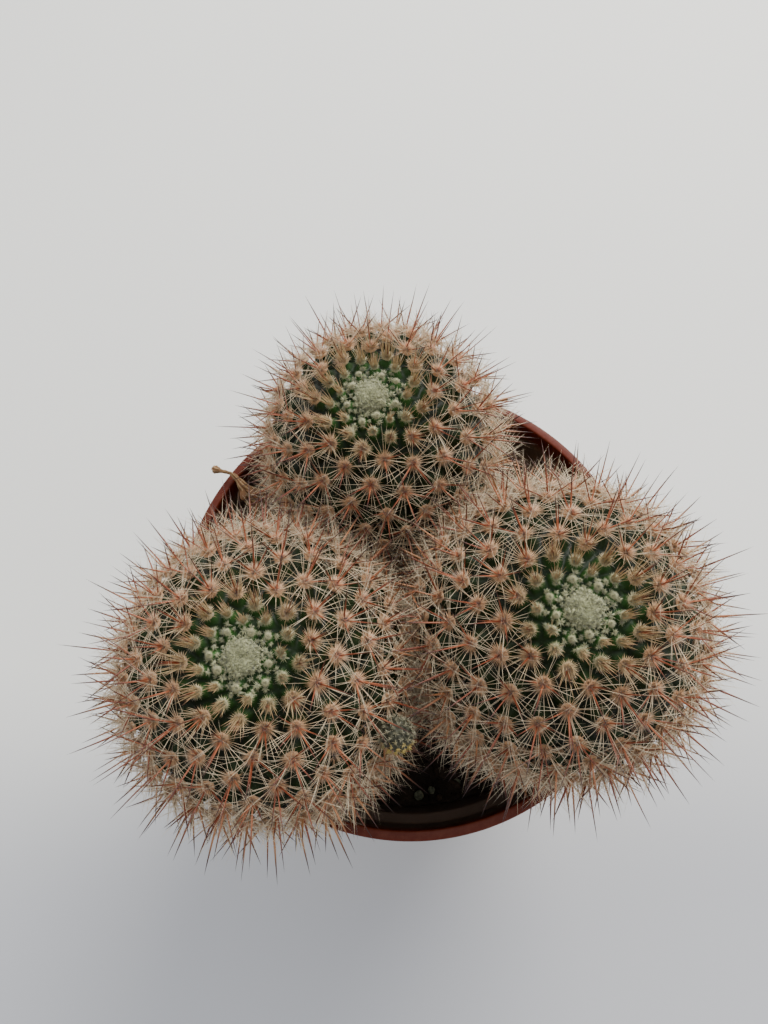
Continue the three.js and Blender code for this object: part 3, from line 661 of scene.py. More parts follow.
class Plant:
    """One plant: its frame in the pot, the table of its outline and its areoles, all in metres."""

    STEPS = 900

    def __init__(self, name, settings, pot, wool):
        spec = PLANTS[name]
        self.s, self.pot, self.wool = settings, pot, wool
        self.radius, self.rise, self.turn = spec["size"] * RIM_RADIUS, spec["rise"], spec["turn"]
        bearing, out = math.radians(spec["azimuth"]), spec["out"] * RIM_RADIUS
        height = POT_HEIGHT + spec["above"] * settings.drop
        self.centre = np.array([out * math.cos(bearing), out * math.sin(bearing), height])
        axis = Vector((*spec["tilt"], 1)).normalized()
        upright = Vector((0, 0, 1)).rotation_difference(axis).to_matrix()
        inward = math.atan2(-self.centre[1], -self.centre[0])
        self.axes = np.array(upright @ Matrix.Rotation(inward, 3, "Z"))
        self.table = self.outline_table()
        self.grow_areoles()

    def outline(self, t):
        """Radius and height from t: a quarter ellipse from the crown (0) to the widest level (1), a narrowing
        base to the neck (2), and the straight neck to its foot (3)."""
        s = self.s
        angle = (t % 1) * math.pi / 2
        swell = math.sqrt(self.radius**2 - s.neck_radius**2) * np.cos(angle)
        foot = POT_HEIGHT - self.pot.soil_depth + s.neck_stand - self.centre[2]
        rho = np.where(t < 1, self.radius * np.sin(angle), np.hypot(s.neck_radius, swell))
        z = np.where(t < 1, self.radius * self.rise * np.cos(angle), -s.drop * np.sin(angle))
        below = t >= 2
        return np.where(below, s.neck_radius, rho), np.where(below, -s.drop + (foot + s.drop) * (t - 2), z)

    def lean_at(self, z):
        """How far the base has moved inwards: a hyperbola that starts level and reaches the lean's slope."""
        depth = np.clip(-z, 0, self.s.drop)
        return self.s.lean * (np.hypot(depth, self.s.lean_start) - self.s.lean_start)

    def spacing_at(self, arc):
        grown = np.clip((arc - self.wool.crown_radius) / self.s.young_reach, 0, 1)
        return self.s.young_spacing + (self.s.spacing - self.s.young_spacing) * grown

    def outline_table(self):
        """Rows down the outline: t, radius, height, arc, areole count and normal. The count is the sum of each
        ring's area over the area of a cell of a triangular lattice with the local spacing."""
        t = 3 * np.arange(1, self.STEPS + 1) / self.STEPS
        rho, z = self.outline(t)
        rho_before = np.concatenate([[0.0], rho[:-1]])
        z_before = np.concatenate([[self.radius * self.rise], z[:-1]])
        step = np.hypot(rho - rho_before, z - z_before)
        arc = np.cumsum(step)
        grows = arc > self.wool.crown_radius + self.s.young_spacing / 2
        cell = 0.866 * self.spacing_at(arc) ** 2
        count = np.cumsum(np.where(grows, 2 * math.pi * rho * step / cell, 0))
        normal = np.stack([(z_before - z) / step, (rho - rho_before) / step], 1)
        return dict(t=t, rho=rho, z=z, arc=arc, count=count, normal=normal)

    def on_skin(self, rows, turns, lift=0.0):
        """Points and normals in the plant's frame, at rows of the table and turns about the axis."""
        table = self.table
        rho, z, normal = table["rho"][rows], table["z"][rows], table["normal"][rows]
        point = around(rho, turns, z)
        point[..., 0] += self.lean_at(z)
        facing = around(normal[..., 0], turns, normal[..., 1])
        return point + facing * np.asarray(lift)[..., None], facing

    def to_pot(self, points):
        return points @ self.axes.T + self.centre

    def grow_areoles(self):
        """Areoles on a golden spiral, closer together at the crown, down to where the bare base begins."""
        table = self.table
        last = table["count"][np.searchsorted(table["t"], self.s.bare_base)]
        index = np.arange(math.ceil(last - 0.5))
        rows = np.searchsorted(table["count"], index + 0.5)
        turns = self.turn + index * GOLDEN_ANGLE
        self.index, self.arc = index, table["arc"][rows]
        self.gap = self.spacing_at(self.arc)
        self.mean, _ = self.on_skin(rows, turns)
        apex, normal = self.on_skin(rows, turns, self.s.tubercle * self.gap)
        slope = table["normal"][rows]
        down = around(slope[:, 1], turns, -slope[:, 0])
        self.apex = self.to_pot(apex)
        self.normal, self.down = normal @ self.axes.T, down @ self.axes.T
        self.side = np.cross(self.normal, self.down)

    def height_over(self, points):
        """The height of points in the pot's frame over this plant's mean skin."""
        x, y, z = np.moveaxis((points - self.centre) @ self.axes, -1, 0)
        out = np.hypot(x - self.lean_at(z), y)
        level = np.sqrt(np.maximum(0, 1 - (z / self.s.drop) ** 2))
        swell = math.sqrt(self.radius**2 - self.s.neck_radius**2) * level
        over_crown = np.hypot(out, z / self.rise) - self.radius
        return np.where(z > 0, over_crown, out - np.hypot(self.s.neck_radius, swell))


def stem_skin(plant):
    """The stem: the outline carried round the axis on a fine grid, raised round each areole and sunk between
    them as a cosine of the share of the way from the nearest areole to the border with the next."""
    rows_wanted, sides = 235, 400
    table, s = plant.table, plant.s
    arcs = np.linspace(0.25 * MM, table["arc"][-1], rows_wanted)
    rows = np.minimum(np.searchsorted(table["arc"], arcs), len(table["arc"]) - 1)
    turns = round_turns(sides)
    skins, ridges, ages = [], [], []
    for chunk in np.array_split(rows, 24):
        row, turn = chunk[:, None], turns[None]
        mean, facing = plant.on_skin(row, turn)
        gap = plant.spacing_at(table["arc"][row])
        apart = np.linalg.norm(mean.reshape(-1, 1, 3) - plant.mean[None], axis=2)
        near = np.partition(apart, 1, axis=1)[:, :2]
        first, second = (near / np.repeat(gap.ravel(), sides)[:, None]).T
        way = np.clip(2 * first / (first + second), 0, 1)
        rise = (s.tubercle + s.valley) * (0.5 + 0.5 * np.cos(math.pi * way**0.9)) - s.valley
        rise = rise * smooth(1.15, 0.7, first)
        rise += 0.008 * lumps(mean.reshape(-1, 3), 0.9 * MM, 3)
        lift = rise.reshape(mean.shape[:2]) * gap
        skins.append(mean + facing * lift[..., None])
        ridges.append(way.reshape(mean.shape[:2]))
        ages.append(np.broadcast_to(1 - smooth(*SKIN_DULLS, table["arc"][row]), mean.shape[:2]))
    skin = np.concatenate(skins).reshape(-1, 3)
    root = root_rings(plant, sides)
    crown = np.array([[0, 0, plant.radius * plant.rise - s.valley * s.young_spacing]])
    points = np.concatenate([crown, skin, root.reshape(-1, 3), root[-1:].mean(1) - [[0, 0, 0.6 * MM]]])
    faces, maps = wrapped(rows_wanted + len(root), sides)
    plain = len(root) * sides + 1
    values = {
        # The valley share is also the mask of the painted shade between the tubercles in the skin's finish.
        "valley": np.concatenate([[1.0], np.concatenate(ridges).ravel(), np.ones(plain)]),
        "youth": np.concatenate([[1.0], np.concatenate(ages).ravel(), np.zeros(plain)]),
    }
    return plant.to_pot(points), faces, maps, values


def root_rings(plant, sides):
    """The root under the neck: the radius falls as the square root of the share of its length."""
    shares = np.array([0.03, 0.08, 0.15, 0.25, 0.4, 0.55, 0.7, 0.85, 1.0])
    top, tip = plant.table["z"][-1], 1.5 * MM
    rho = plant.s.neck_radius + (tip - plant.s.neck_radius) * np.sqrt(shares)
    z = top - plant.s.root_length * shares
    ring = rings(rho, z, round_turns(sides))
    ring[..., 0] += plant.lean_at(top)
    return ring


def pads(plant):
    """Wool pads: on each areole a low dome of a cosine profile, its skin pushed about by fine noise."""
    levels, sides = 5, 16
    polar = np.linspace(0, 0.62 * math.pi, levels + 1)[1:]
    dome = rings(np.sin(polar), np.cos(polar), round_turns(sides))
    shape = np.concatenate([[[0, 0, 1.0]], dome.reshape(-1, 3), [[0, 0, np.cos(polar[-1])]]])
    size = pad_sizes(plant)
    ragged = 1 + 0.16 * lumps(shape[None] * 2.6 + plant.index[:, None, None] * 3.3, 1.0, 4)
    local = shape[None] * size[:, None, None] * ragged[..., None] * np.array([0.8, 0.8, 0.42])
    world = (
        plant.apex[:, None]
        + local[..., :1] * plant.side[:, None]
        + local[..., 1:2] * plant.down[:, None]
        + (local[..., 2:] - 0.1 * size[:, None, None]) * plant.normal[:, None]
    )
    fluff = 0.12 * size[:, None] * lumps(world, 0.35 * MM, 5)
    world = world + plant.normal[:, None] * fluff[..., None]
    count, size_of = world.shape[:2]
    faces, maps = copies(count, size_of, *wrapped(levels, sides))
    reach = np.concatenate([[0], np.repeat(np.sin(polar), sides) * 0.55, [0.5]])
    values = {
        "along": np.tile(reach, count),
        "youth": np.repeat(wool_youth(plant), size_of),
        "chance": np.repeat(scatter(plant.index, 8), size_of),
    }
    return world.reshape(-1, 3), faces, maps, values


def pad_sizes(plant):
    grown = smooth(*PADS_GROW, plant.arc)
    wool = plant.wool
    base = wool.young_pad_radius + (wool.pad_radius - wool.young_pad_radius) * grown
    return base * (0.9 + 0.2 * scatter(plant.index, 6))


def wool_youth(plant):
    """1 in the green-white wool next to the crown, 0 in the beige wool of grown areoles."""
    return 1 - smooth(*WOOL_BROWNS, plant.arc)


def sprays(plant, count, salt):
    """Turns of so many spines round each areole: even steps from a random start, each moved a little."""
    k = np.arange(count)
    start = scatter(plant.index, salt)[:, None] * 2 * math.pi
    return start + k * 2 * math.pi / count + 0.5 * (scatter(plant.index[:, None] * count + k, salt + 1) - 0.5)


def pointing(plant, turns, rise):
    """Directions from each areole: the turn about its normal, and the rise from its tangent plane."""
    flat = np.cos(turns)[..., None] * plant.down[:, None] + np.sin(turns)[..., None] * plant.side[:, None]
    return unit(np.cos(rise)[..., None] * flat + np.sin(rise)[..., None] * plant.normal[:, None])


def wool_hairs(plant):
    """Wool: short fine hairs from each pad, on a golden spiral. They stand nearly upright in its heart and lie
    flat at its edge."""
    wool, count = plant.wool, plant.wool.hair_count
    serial = plant.index[:, None] * count + np.arange(count)
    turns = np.arange(count) * GOLDEN_ANGLE + scatter(plant.index, 9)[:, None] * ABOUT_A_TURN
    edge = np.sqrt((np.arange(count) + 0.5) / count)[None] + 0 * turns
    rise = (1 - edge) * 1.35 + 0.12 + 0.3 * (scatter(serial, 10) - 0.5)
    direction = pointing(plant, turns, rise)
    size = pad_sizes(plant)
    foot = plant.apex[:, None] + direction * (0.35 * size[:, None, None])
    reach = wool.hair_length * (size / wool.pad_radius)[:, None] * (0.75 + 0.3 * scatter(serial, 11))
    reach = reach * (0.7 + 0.3 * edge)
    width = wool.hair_radius * np.sqrt(size / wool.pad_radius)[:, None] + 0 * reach
    points, faces, maps, values = hairs(foot, direction, reach, width)
    each = len(points) // reach.size
    values["along"] = np.repeat(edge.ravel() * 0.62, each) + 0.16 * values["along"]
    values["youth"] = np.repeat(np.broadcast_to(wool_youth(plant)[:, None], reach.shape).ravel(), each)
    return points, faces, maps, values


def axil_hairs(plant):
    """Wool between the lower tubercles: half globes of fine hairs, each half a spacing beside an areole."""
    each = 32
    low = np.flatnonzero(plant.arc > FIRST_AXIL_WOOL)
    serial = low[:, None] * each + np.arange(each)
    normal, gap = plant.normal[low], plant.gap[low, None]
    middle = plant.apex[low] + 0.5 * gap * unit(plant.side[low] + 0.4 * plant.down[low]) - 0.36 * gap * normal
    direction = unit(any_way(serial, 16) + 0.8 * normal[:, None])
    foot = middle[:, None] + direction * (0.35 * MM)
    reach = plant.wool.hair_length * (0.5 + 0.6 * scatter(serial, 19))
    width = 0.07 * MM + 0 * reach
    points, faces, maps, values = hairs(foot, direction, reach, width)
    values["along"] = 0.5 + 0 * values["along"]
    values["chance"] = 0.3 * values["chance"]
    values["youth"] = 0 * values["along"]
    return points, faces, maps, values


def clear_reach(plant, others, spines, foot, direction, bend, reach):
    """Shortens spines that would run into another plant, the pot or the soil."""
    steps = 12
    kept = np.ones(len(foot), bool)
    allowed = np.zeros(len(foot))
    for i in range(1, steps + 1):
        u = i / steps
        at = foot + reach[:, None] * (direction * u + bend * u * u)
        for other in others:
            kept &= other.height_over(at) > spines.clearance
        out, z = np.hypot(at[:, 0], at[:, 1]), at[:, 2]
        above = (z > POT_HEIGHT + spines.clearance) | (out > RIM_RADIUS + spines.clearance)
        inside = out < inner_radius(plant.pot, np.minimum(z, POT_HEIGHT)) - spines.clearance
        kept &= above | (inside & (z > soil_height(plant.pot, at[:, 0], at[:, 1]) + spines.clearance))
        allowed = np.where(kept, u, allowed)
    return reach * allowed


def clear_thorns(plant, others, spines, rods, wanted, shortest, form, values):
    """Thorns stopped short of other pieces, each with its own values. Left out are those that aren't wanted
    and those that would be too short. The rods are the foot, direction, bend, reach and radius of each, and the
    form is the sides, levels and taper of all."""
    foot, direction, bend, reach, radius = rods
    shape = reach.shape
    foot, direction, bend = (a.reshape(-1, 3) for a in (foot, direction, bend + 0 * direction))
    reach = clear_reach(plant, others, spines, foot, direction, bend, reach.ravel())
    keep = (reach > shortest) & np.broadcast_to(wanted, shape).ravel()
    thorn = thorns(foot[keep], direction[keep], reach[keep], radius.ravel()[keep], bend[keep], *form)
    each = len(thorn[0]) // int(keep.sum())
    for key, value in values.items():
        thorn[3][key] = np.repeat(np.broadcast_to(value, shape).ravel()[keep], each)
    return thorn


def radial_spines(plant, others, spines):
    """Radials: a wheel of thin spines round each grown areole, closed into an upright brush near a crown."""
    count = spines.radial_count
    turns = sprays(plant, count, 20)
    serial = plant.index[:, None] * count + np.arange(count)
    opened = smooth(spines.open_from, spines.open_to, plant.arc)[:, None]
    grown = smooth(*RADIALS_GROW, plant.arc)[:, None]
    flat = 0.18 + 0.85 * scatter(serial, 22) ** 1.6
    rise = (1 - opened) * (1.68 - 0.4 * scatter(serial, 25)) + opened * flat
    direction = pointing(plant, turns, rise)
    size = pad_sizes(plant)
    ring = 0.85 * (1 - opened) * np.sqrt(scatter(serial, 27)) + 0.3 * opened
    foot = plant.apex[:, None] + pointing(plant, turns, 0 * rise + 0.25) * (ring * size[:, None])[..., None]
    low = smooth(*RADIALS_STRETCH, plant.arc)[:, None]
    reach = spines.radial_length * (0.3 + 0.7 * grown) * (0.62 + 0.38 * scatter(serial, 23)) * (1 + 0.16 * low)
    wanted = (plant.arc > FIRST_RADIALS)[:, None]
    droop = -0.10 * opened[..., None] * plant.normal[:, None]
    droop = droop + 0.05 * (scatter(serial, 24) - 0.5)[..., None] * plant.side[:, None]
    radius = spines.radial_radius * (0.75 + 0.35 * scatter(serial, 26)) * (1.5 - 0.5 * opened + 0.45 * low)
    rods = (foot, direction, droop, reach, radius)
    return clear_thorns(plant, others, spines, rods, wanted, 0.5 * MM, (3, 3), {"brush": 1 - opened})


def central_spines(plant, others, spines):
    """Centrals: stout spines from each areole's heart. The first stands nearly upright, leaning away from the
    crown, and the rest spread round it."""
    count = spines.central_count
    k = np.arange(count)
    serial = plant.index[:, None] * count + k
    opened = smooth(spines.open_from - 1 * MM, spines.open_to, plant.arc)[:, None]
    grown = smooth(*CENTRALS_GROW, plant.arc)[:, None]
    turns = scatter(plant.index, 30)[:, None] * ABOUT_A_TURN + (k - 1) * 2 * math.pi / max(count - 1, 1)
    turns = turns + 1.1 * (scatter(serial, 31) - 0.5)
    spread = 0.74 + 0.6 * (scatter(serial, 32) - 0.5)
    first = k[None] == 0
    turns = np.where(first, 0, turns)
    lean = np.where(first, 0.12 + 0.3 * scatter(serial, 33), spread)
    lean = lean * (0.18 + 0.82 * opened)
    direction = pointing(plant, turns, math.pi / 2 - lean)
    foot = plant.apex[:, None] + 0.15 * MM * direction
    reach = spines.central_length * (0.3 + 0.7 * grown) * (1 - 0.3 * scatter(serial, 34))
    reach = reach * np.where(first, 1, 0.8)
    bend = 0.06 * (scatter(serial, 35) - 0.5)[..., None] * plant.side[:, None]
    wanted = (scatter(serial, 36) < np.where(first, 1.0, 0.8)) & (plant.arc > FIRST_CENTRALS)[:, None]
    old = smooth(*CENTRALS_AGE, plant.arc)[:, None]
    radius = spines.central_radius * (0.6 + 0.4 * grown + 0.4 * old) * (0.75 + 0.35 * scatter(serial, 37))
    rods = (foot, direction, bend, reach, radius)
    return clear_thorns(plant, others, spines, rods, wanted, 1.5 * MM, (5, 5, 2.2), {"old": old})


def crown_felt(plant):
    """The felt on a crown, with fine hairs on it and tufts round it. Its dome's height is a constant plus a
    sine of the share of the way out, less a smooth fall at the edge, with value noise added."""
    wool = plant.wool
    levels, sides = 14, 44
    u = np.linspace(0, 1, levels + 1)[1:]
    edge, felt_radius = 0.86, 0.84 * wool.crown_radius
    r = felt_radius * np.where(u < edge, u / edge, 1.0 - 0.5 * (u - edge))
    swell = 0.3 * np.sin(math.pi * np.minimum(u / edge, 1))
    z = wool.crown_height * (0.34 + swell - 0.8 * smooth(0.55, 1, u))
    local = rings(r, z, round_turns(sides)).reshape(-1, 3)
    low = np.array([[0, 0, z[-1]]])
    local = np.concatenate([[[0, 0, 0.34 * wool.crown_height]], local, low])
    seat = plant.radius * plant.rise
    local[:, 2] += 0.15 * MM * fractal(local, 0.6 * MM, 11) + seat + 0.05 * MM
    local[:, :2] *= 1 + 0.1 * lumps(local, 0.9 * MM, 12)[:, None]
    dome = plant.to_pot(local)
    faces, maps = wrapped(levels, sides)
    values = {
        "along": np.full(len(dome), 0.3),
        "chance": 0.5 + 0.5 * lumps(dome, 0.5 * MM, 13),
        "youth": np.ones(len(dome)),
    }
    felt = (dome, faces, maps, values)
    count = 1400
    k = np.arange(count)
    out = 0.9 * wool.crown_radius * np.sqrt((k + 0.5) / count)
    turn = k * GOLDEN_ANGLE
    share_out = out / felt_radius
    rise = 0.3 + 0.26 * np.sin(math.pi * np.minimum(share_out, 1)) - 0.45 * smooth(0.7, 1.05, share_out)
    height = seat + wool.crown_height * rise
    foot = around(out, turn, height)
    lean = 0.3 + 1.1 * out / wool.crown_radius
    direction = around(np.sin(lean), turn + 2.2 * (scatter(k, 41) - 0.5), np.cos(lean))
    reach = (0.35 + 0.6 * scatter(k, 42)) * MM
    points, faces, maps, values = hairs(foot, direction, reach, np.full(count, 0.085 * MM))
    values["youth"] = np.ones(len(points))
    return joined([felt, (plant.to_pot(points), faces, maps, values), crown_tufts(plant)])


def crown_tufts(plant):
    """Tufts of wool between the youngest areoles: half globes of short hairs on a golden spiral."""
    wool, count, inner, each = plant.wool, 104, 44, 44
    edge = wool.crown_radius
    k = np.arange(count)
    outside = np.maximum(0, k - inner + 0.5) / (count - inner)
    arcs = np.where(k < inner, edge * np.sqrt((k + 0.5) / inner), edge + 3.1 * MM * outside)
    rows = np.searchsorted(plant.table["arc"], arcs)
    raised = 0.25 * MM + 0.45 * wool.crown_height * smooth(edge * 1.15, edge * 0.7, arcs)
    raised -= 0.25 * MM * smooth(0.8 * MM, 0.2 * MM, arcs)
    middle, facing = plant.on_skin(rows, 2.0 + k * GOLDEN_ANGLE, raised)
    serial = k[:, None] * each + np.arange(each)
    size = (0.26 + 0.3 * scatter(k, 61))[:, None] * MM
    direction = unit(any_way(serial, 62) + 0.6 * facing[:, None])
    foot = middle[:, None] + direction * (0.3 * size)[..., None]
    reach = size * (0.9 + 0.7 * scatter(serial, 65))
    width = 0.15 * size + 0 * reach
    points, faces, maps, values = hairs(foot, direction, reach, width)
    values["chance"] = np.repeat(0.35 * scatter(k, 66) + 0.65 * scatter(k, 67), each * 4)
    values["youth"] = np.ones(len(points))
    return plant.to_pot(points), faces, maps, values


# --------------------------------------------------------------------------------------------- operators


def put_on_plants(scene, finish, suffix, slot, shape, node="cactus"):
    """Puts a like piece on every plant. The shape is worked out from a plant and the plants beside it."""
    plants = {name: Plant(name, scene.cactus_plant, scene.cactus_pot, scene.cactus_wool) for name in PLANTS}
    for name, plant in plants.items():
        others = [other for other in plants.values() if other is not plant]
        points, faces, maps, values = shape(plant, others)
        put(f"{name}_{suffix}", points, faces, maps, finish, slot, [f"{name}_{node}"], values)


class CACTUS_OT_pot(bpy.types.Operator):
    """Make the pot: a lathed wall with a lip, a collar and a floor, with drain holes cut through it"""

    bl_idname = "cactus.pot"
    bl_label = "Pot"

    SIDES = 256
    CORNER = 0.42 * MM
    STEP = 2.2 * MM

    def execute(self, context):
        s = context.scene.cactus_pot
        outline = spaced(rounded(pot_profile(s), self.CORNER, 5), self.STEP)
        finish = self.plastic(s)
        shell = put("pot_shell", *lathe(outline, self.SIDES), finish, "pot_plastic", ["pot"])
        self.drill(shell, s)
        return {"FINISHED"}

    def drill(self, shell, s):
        """Cuts the drain holes with a drum for each, all in one cutter."""
        sides, low, high = 48, -2 * MM, 4 * MM
        walls = rings([s.drain_radius, s.drain_radius], [low, high], round_turns(sides)).reshape(-1, 3)
        drum = np.concatenate([[[0, 0, low]], walls, [[0, 0, high]]])
        faces, maps = flipped(*wrapped(2, sides))
        bearings = round_turns(s.drain_count) + math.pi / s.drain_count
        middles = rings([s.drain_circle], [0.0], bearings)[0]
        drums = [(drum + middle, faces, maps, {}) for middle in middles]
        points, faces, _, _ = joined(drums)
        mesh = bpy.data.meshes.new("drums")
        mesh.from_pydata(points.tolist(), [], [list(map(int, face)) for part in faces for face in part])
        cutter = bpy.data.objects.new("drums", mesh)
        bpy.context.scene.collection.objects.link(cutter)
        cut = shell.modifiers.new("drain holes", "BOOLEAN")
        cut.object, cut.operation, cut.solver = cutter, "DIFFERENCE", "EXACT"
        bpy.context.view_layer.update()
        final = bpy.data.meshes.new_from_object(shell.evaluated_get(bpy.context.evaluated_depsgraph_get()))
        shell.modifiers.clear()
        shell.data = final
        bpy.data.objects.remove(cutter)

    def plastic(self, s):
        finish = Finish("pot_plastic", roughness=0.42, specular_ior_level=0.22)
        height = finish.height()
        place = finish.node("ShaderNodeSeparateXYZ", None, {0: finish.place()})
        x, y = place.wire("X"), place.wire("Y")
        out = (x * x + y * y) ** 0.5
        cloud, grain = finish.noise(60, 4, 0.6), finish.noise(900, 4, 0.6)
        base = finish.mix(cloud * 0.5, s.plastic, shaded(s.plastic, 0.7))
        lip = height.span(POT_HEIGHT - 0.9 * MM, POT_HEIGHT) * grain.span(0.35, 0.75)
        base = finish.mix(lip * 0.5, base, s.plastic_worn)
        collar_foot, body_foot = POT_HEIGHT - s.collar_height, s.foot_radius - s.wall
        body_top = RIM_RADIUS - s.lip_width - s.collar_draft - s.ledge
        slope = (body_top - body_foot) / (collar_foot - s.floor_thickness)
        over_wall = out - (height - s.floor_thickness) * slope - body_foot
        in_body = (1 - over_wall.span(0.2 * MM, 0.8 * MM)) * height.span(0.3 * MM, 1.2 * MM)
        in_collar = 1 - out.span(RIM_RADIUS - s.lip_width - 0.35 * MM, RIM_RADIUS - s.lip_width + 0.05 * MM)
        up = height.span(collar_foot - 0.5 * MM, collar_foot - 0.2 * MM)
        inside = up * in_collar + (1 - up) * in_body
        below = 1 - height.span(POT_HEIGHT - 7 * MM, POT_HEIGHT - 1.2 * MM)
        dirt = (below * 1.1 + (cloud - 0.5) * 0.9 + (grain - 0.5) * 0.7).span(0.1, 0.75) * inside
        base = finish.mix(dirt * 0.95, base, s.dust)
        specks = (1 - finish.cells(1500).span(0.06, 0.16)) * inside * 0.5
        base = finish.mix(specks, base, s.peat_dry)
        finish.feed(base_color=base, roughness=0.36 + grain * 0.12 + dirt * 0.35)
        return finish.bump(grain * 0.5 + dirt * grain * 2.0, 0.0001, 0.5)


class CACTUS_OT_soil(bpy.types.Operator):
    """Make the soil: a low dome, with value noise added that fades at the wall, and crumbs of peat on it"""

    bl_idname = "cactus.soil"
    bl_label = "Soil"

    WALL_GAP = 0.35 * MM

    def execute(self, context):
        s = context.scene.cactus_pot
        edge_z = POT_HEIGHT - s.soil_depth
        levels, sides = 110, 320
        rim = float(inner_radius(s, edge_z)) - self.WALL_GAP
        r = np.linspace(0, 1, levels + 1)[1:] * rim
        turns = round_turns(sides)
        flat = rings(r, 0 * r, turns)
        x, y = flat[..., 0], flat[..., 1]
        rough = 0.55 * MM * fractal(flat, 2.6 * MM, 21, 4) + 0.35 * MM * np.abs(lumps(flat, 1.1 * MM, 22))
        z = soil_height(s, x, y) + rough * (1 - (r[:, None] / rim) ** 12)
        top = np.stack([x, y, z], -1)
        depths = np.linspace(edge_z - 1.5 * MM, s.floor_thickness + 0.3 * MM, 8)
        wall = np.maximum(inner_radius(s, depths) - self.WALL_GAP, 1 * MM)
        side = rings(wall, depths, turns)
        peak, bottom = [[0, 0, float(soil_height(s, 0, 0))]], [[0, 0, depths[-1]]]
        points = np.concatenate([peak, top.reshape(-1, 3), side.reshape(-1, 3), bottom])
        faces, maps = wrapped(levels + len(side), sides)
        finish = self.peat(s)
        put("soil_bed", points, faces, maps, finish, "potting_soil", ["soil"])
        crumbs = self.crumbs(s, rim)
        put("soil_crumbs", *crumbs[:3], finish, "potting_soil", ["soil"], crumbs[3])
        return {"FINISHED"}

    def crumbs(self, s, rim):
        """Crumbs: small lumpy globes scattered over the soil, each a sphere pushed about by noise."""
        count, levels, sides = 1500, 4, 7
        k = np.arange(count)
        out = (rim - 0.8 * MM) * np.sqrt(scatter(k, 51))
        turn = 2 * math.pi * scatter(k, 52)
        size = (0.25 + 0.95 * scatter(k, 53) ** 3) * MM
        middle = np.stack([out * np.cos(turn), out * np.sin(turn)], 1)
        z = soil_height(s, middle[:, 0], middle[:, 1]) + 0.45 * MM + 0.2 * size
        ball = globe(levels, sides)
        sizes = [0.8 + 0.8 * scatter(k, 54), 0.6 + 0.6 * scatter(k, 55), 0.5 + 0.4 * scatter(k, 56)]
        stretch = np.stack(sizes, 1)
        wobble = 1 + 0.3 * lumps(ball[None] * 1.1 + k[:, None, None] * 3.1, 1.0, 23)[..., None]
        local = ball[None] * wobble * stretch[:, None] * size[:, None, None]
        yaw = ABOUT_A_TURN * scatter(k, 57)
        cos, sin = np.cos(yaw)[:, None], np.sin(yaw)[:, None]
        world = np.stack(
            [
                middle[:, :1] + local[..., 0] * cos - local[..., 1] * sin,
                middle[:, 1:] + local[..., 0] * sin + local[..., 1] * cos,
                z[:, None] + local[..., 2],
            ],
            -1,
        )
        faces, maps = copies(count, world.shape[1], *wrapped(levels, sides))
        values = {"chance": np.repeat(scatter(k, 58), world.shape[1])}
        return world.reshape(-1, 3), faces, maps, values

    def peat(self, s):
        finish = Finish("potting_soil", roughness=0.92, specular_ior_level=0.25)
        cloud, grain = finish.noise(220, 5, 0.65), finish.noise(1800, 4, 0.7)
        base = finish.mix(cloud.span(0.35, 0.75), s.peat, shaded(s.peat, 2.2))
        dry = finish.value("chance").span(0.72, 1.0) * grain.span(0.3, 0.7) * 0.7
        base = finish.mix(dry, base, s.peat_dry)
        fibre = (1 - finish.cells(900, Randomness=1.0).span(0.03, 0.12)) * 0.6
        base = finish.mix(fibre * cloud, base, s.peat_dry)
        finish.feed(base_color=base)
        return finish.bump(grain + cloud, 0.0004, 0.9)


class CACTUS_OT_stems(bpy.types.Operator):
    """Make the three stems, covered in tubercles"""

    bl_idname = "cactus.stems"
    bl_label = "Stems"

    def execute(self, context):
        def shape(plant, others):
            return stem_skin(plant)

        finish = self.skin(context.scene.cactus_plant)
        put_on_plants(context.scene, finish, "stem", "cactus_skin", shape)
        return {"FINISHED"}

    def skin(self, s):
        finish = Finish("cactus_skin", roughness=0.36, specular_ior_level=0.16)
        valley, youth = finish.value("valley"), finish.value("youth")
        patch = finish.noise(420, 3)
        green = finish.mix(youth, s.skin, s.skin_young)
        # Painted shade: the valleys between the tubercles are darkened towards the painted valley shade colour.
        green = finish.mix(valley.span(0.35, 1.0) * 0.9, green, s.painted_valley_shade)
        green = finish.mix((patch - 0.35) * youth * 0.5, green, s.skin_young)
        flecks = 1 - finish.cells(2600).span(0.05, 0.22)
        green = finish.mix(flecks * 0.22, green, s.skin_fleck)
        finish.feed(base_color=green, roughness=0.3 + patch * 0.22)
        return finish.bump(finish.noise(2400, 3) + finish.cells(1300) * 0.6, 0.00012, 0.7)


class CACTUS_OT_areole_wool(bpy.types.Operator):
    """Make the wool of every areole: a pad and its fine hairs"""

    bl_idname = "cactus.areole_wool"
    bl_label = "Areole wool"

    def execute(self, context):
        def shape(plant, others):
            return joined([pads(plant), wool_hairs(plant), axil_hairs(plant)])

        finish = self.wool(context.scene.cactus_wool)
        put_on_plants(context.scene, finish, "areole_wool", "areole_wool", shape)
        return {"FINISHED"}

    def wool(self, s):
        sheen = dict(sheen_weight=0.35, sheen_roughness=0.5)
        finish = Finish("areole_wool", roughness=0.85, specular_ior_level=0.25, **sheen)
        along, youth, chance = finish.value("along"), finish.value("youth"), finish.value("chance")
        beige = finish.mix(along.span(0.12, 0.42), s.heart, s.grown)
        beige = finish.mix(chance.span(0.0, 0.45), shaded(s.grown, 0.55), beige)
        beige = finish.mix(chance.span(0.55, 1.0) * 0.6, beige, shaded(s.grown, 1.3))
        tint = finish.mix(youth, beige, s.young)
        tint = finish.mix(finish.noise(2600, 2) * 0.25, tint, shaded(s.grown, 0.6))
        return finish.feed(base_color=tint)


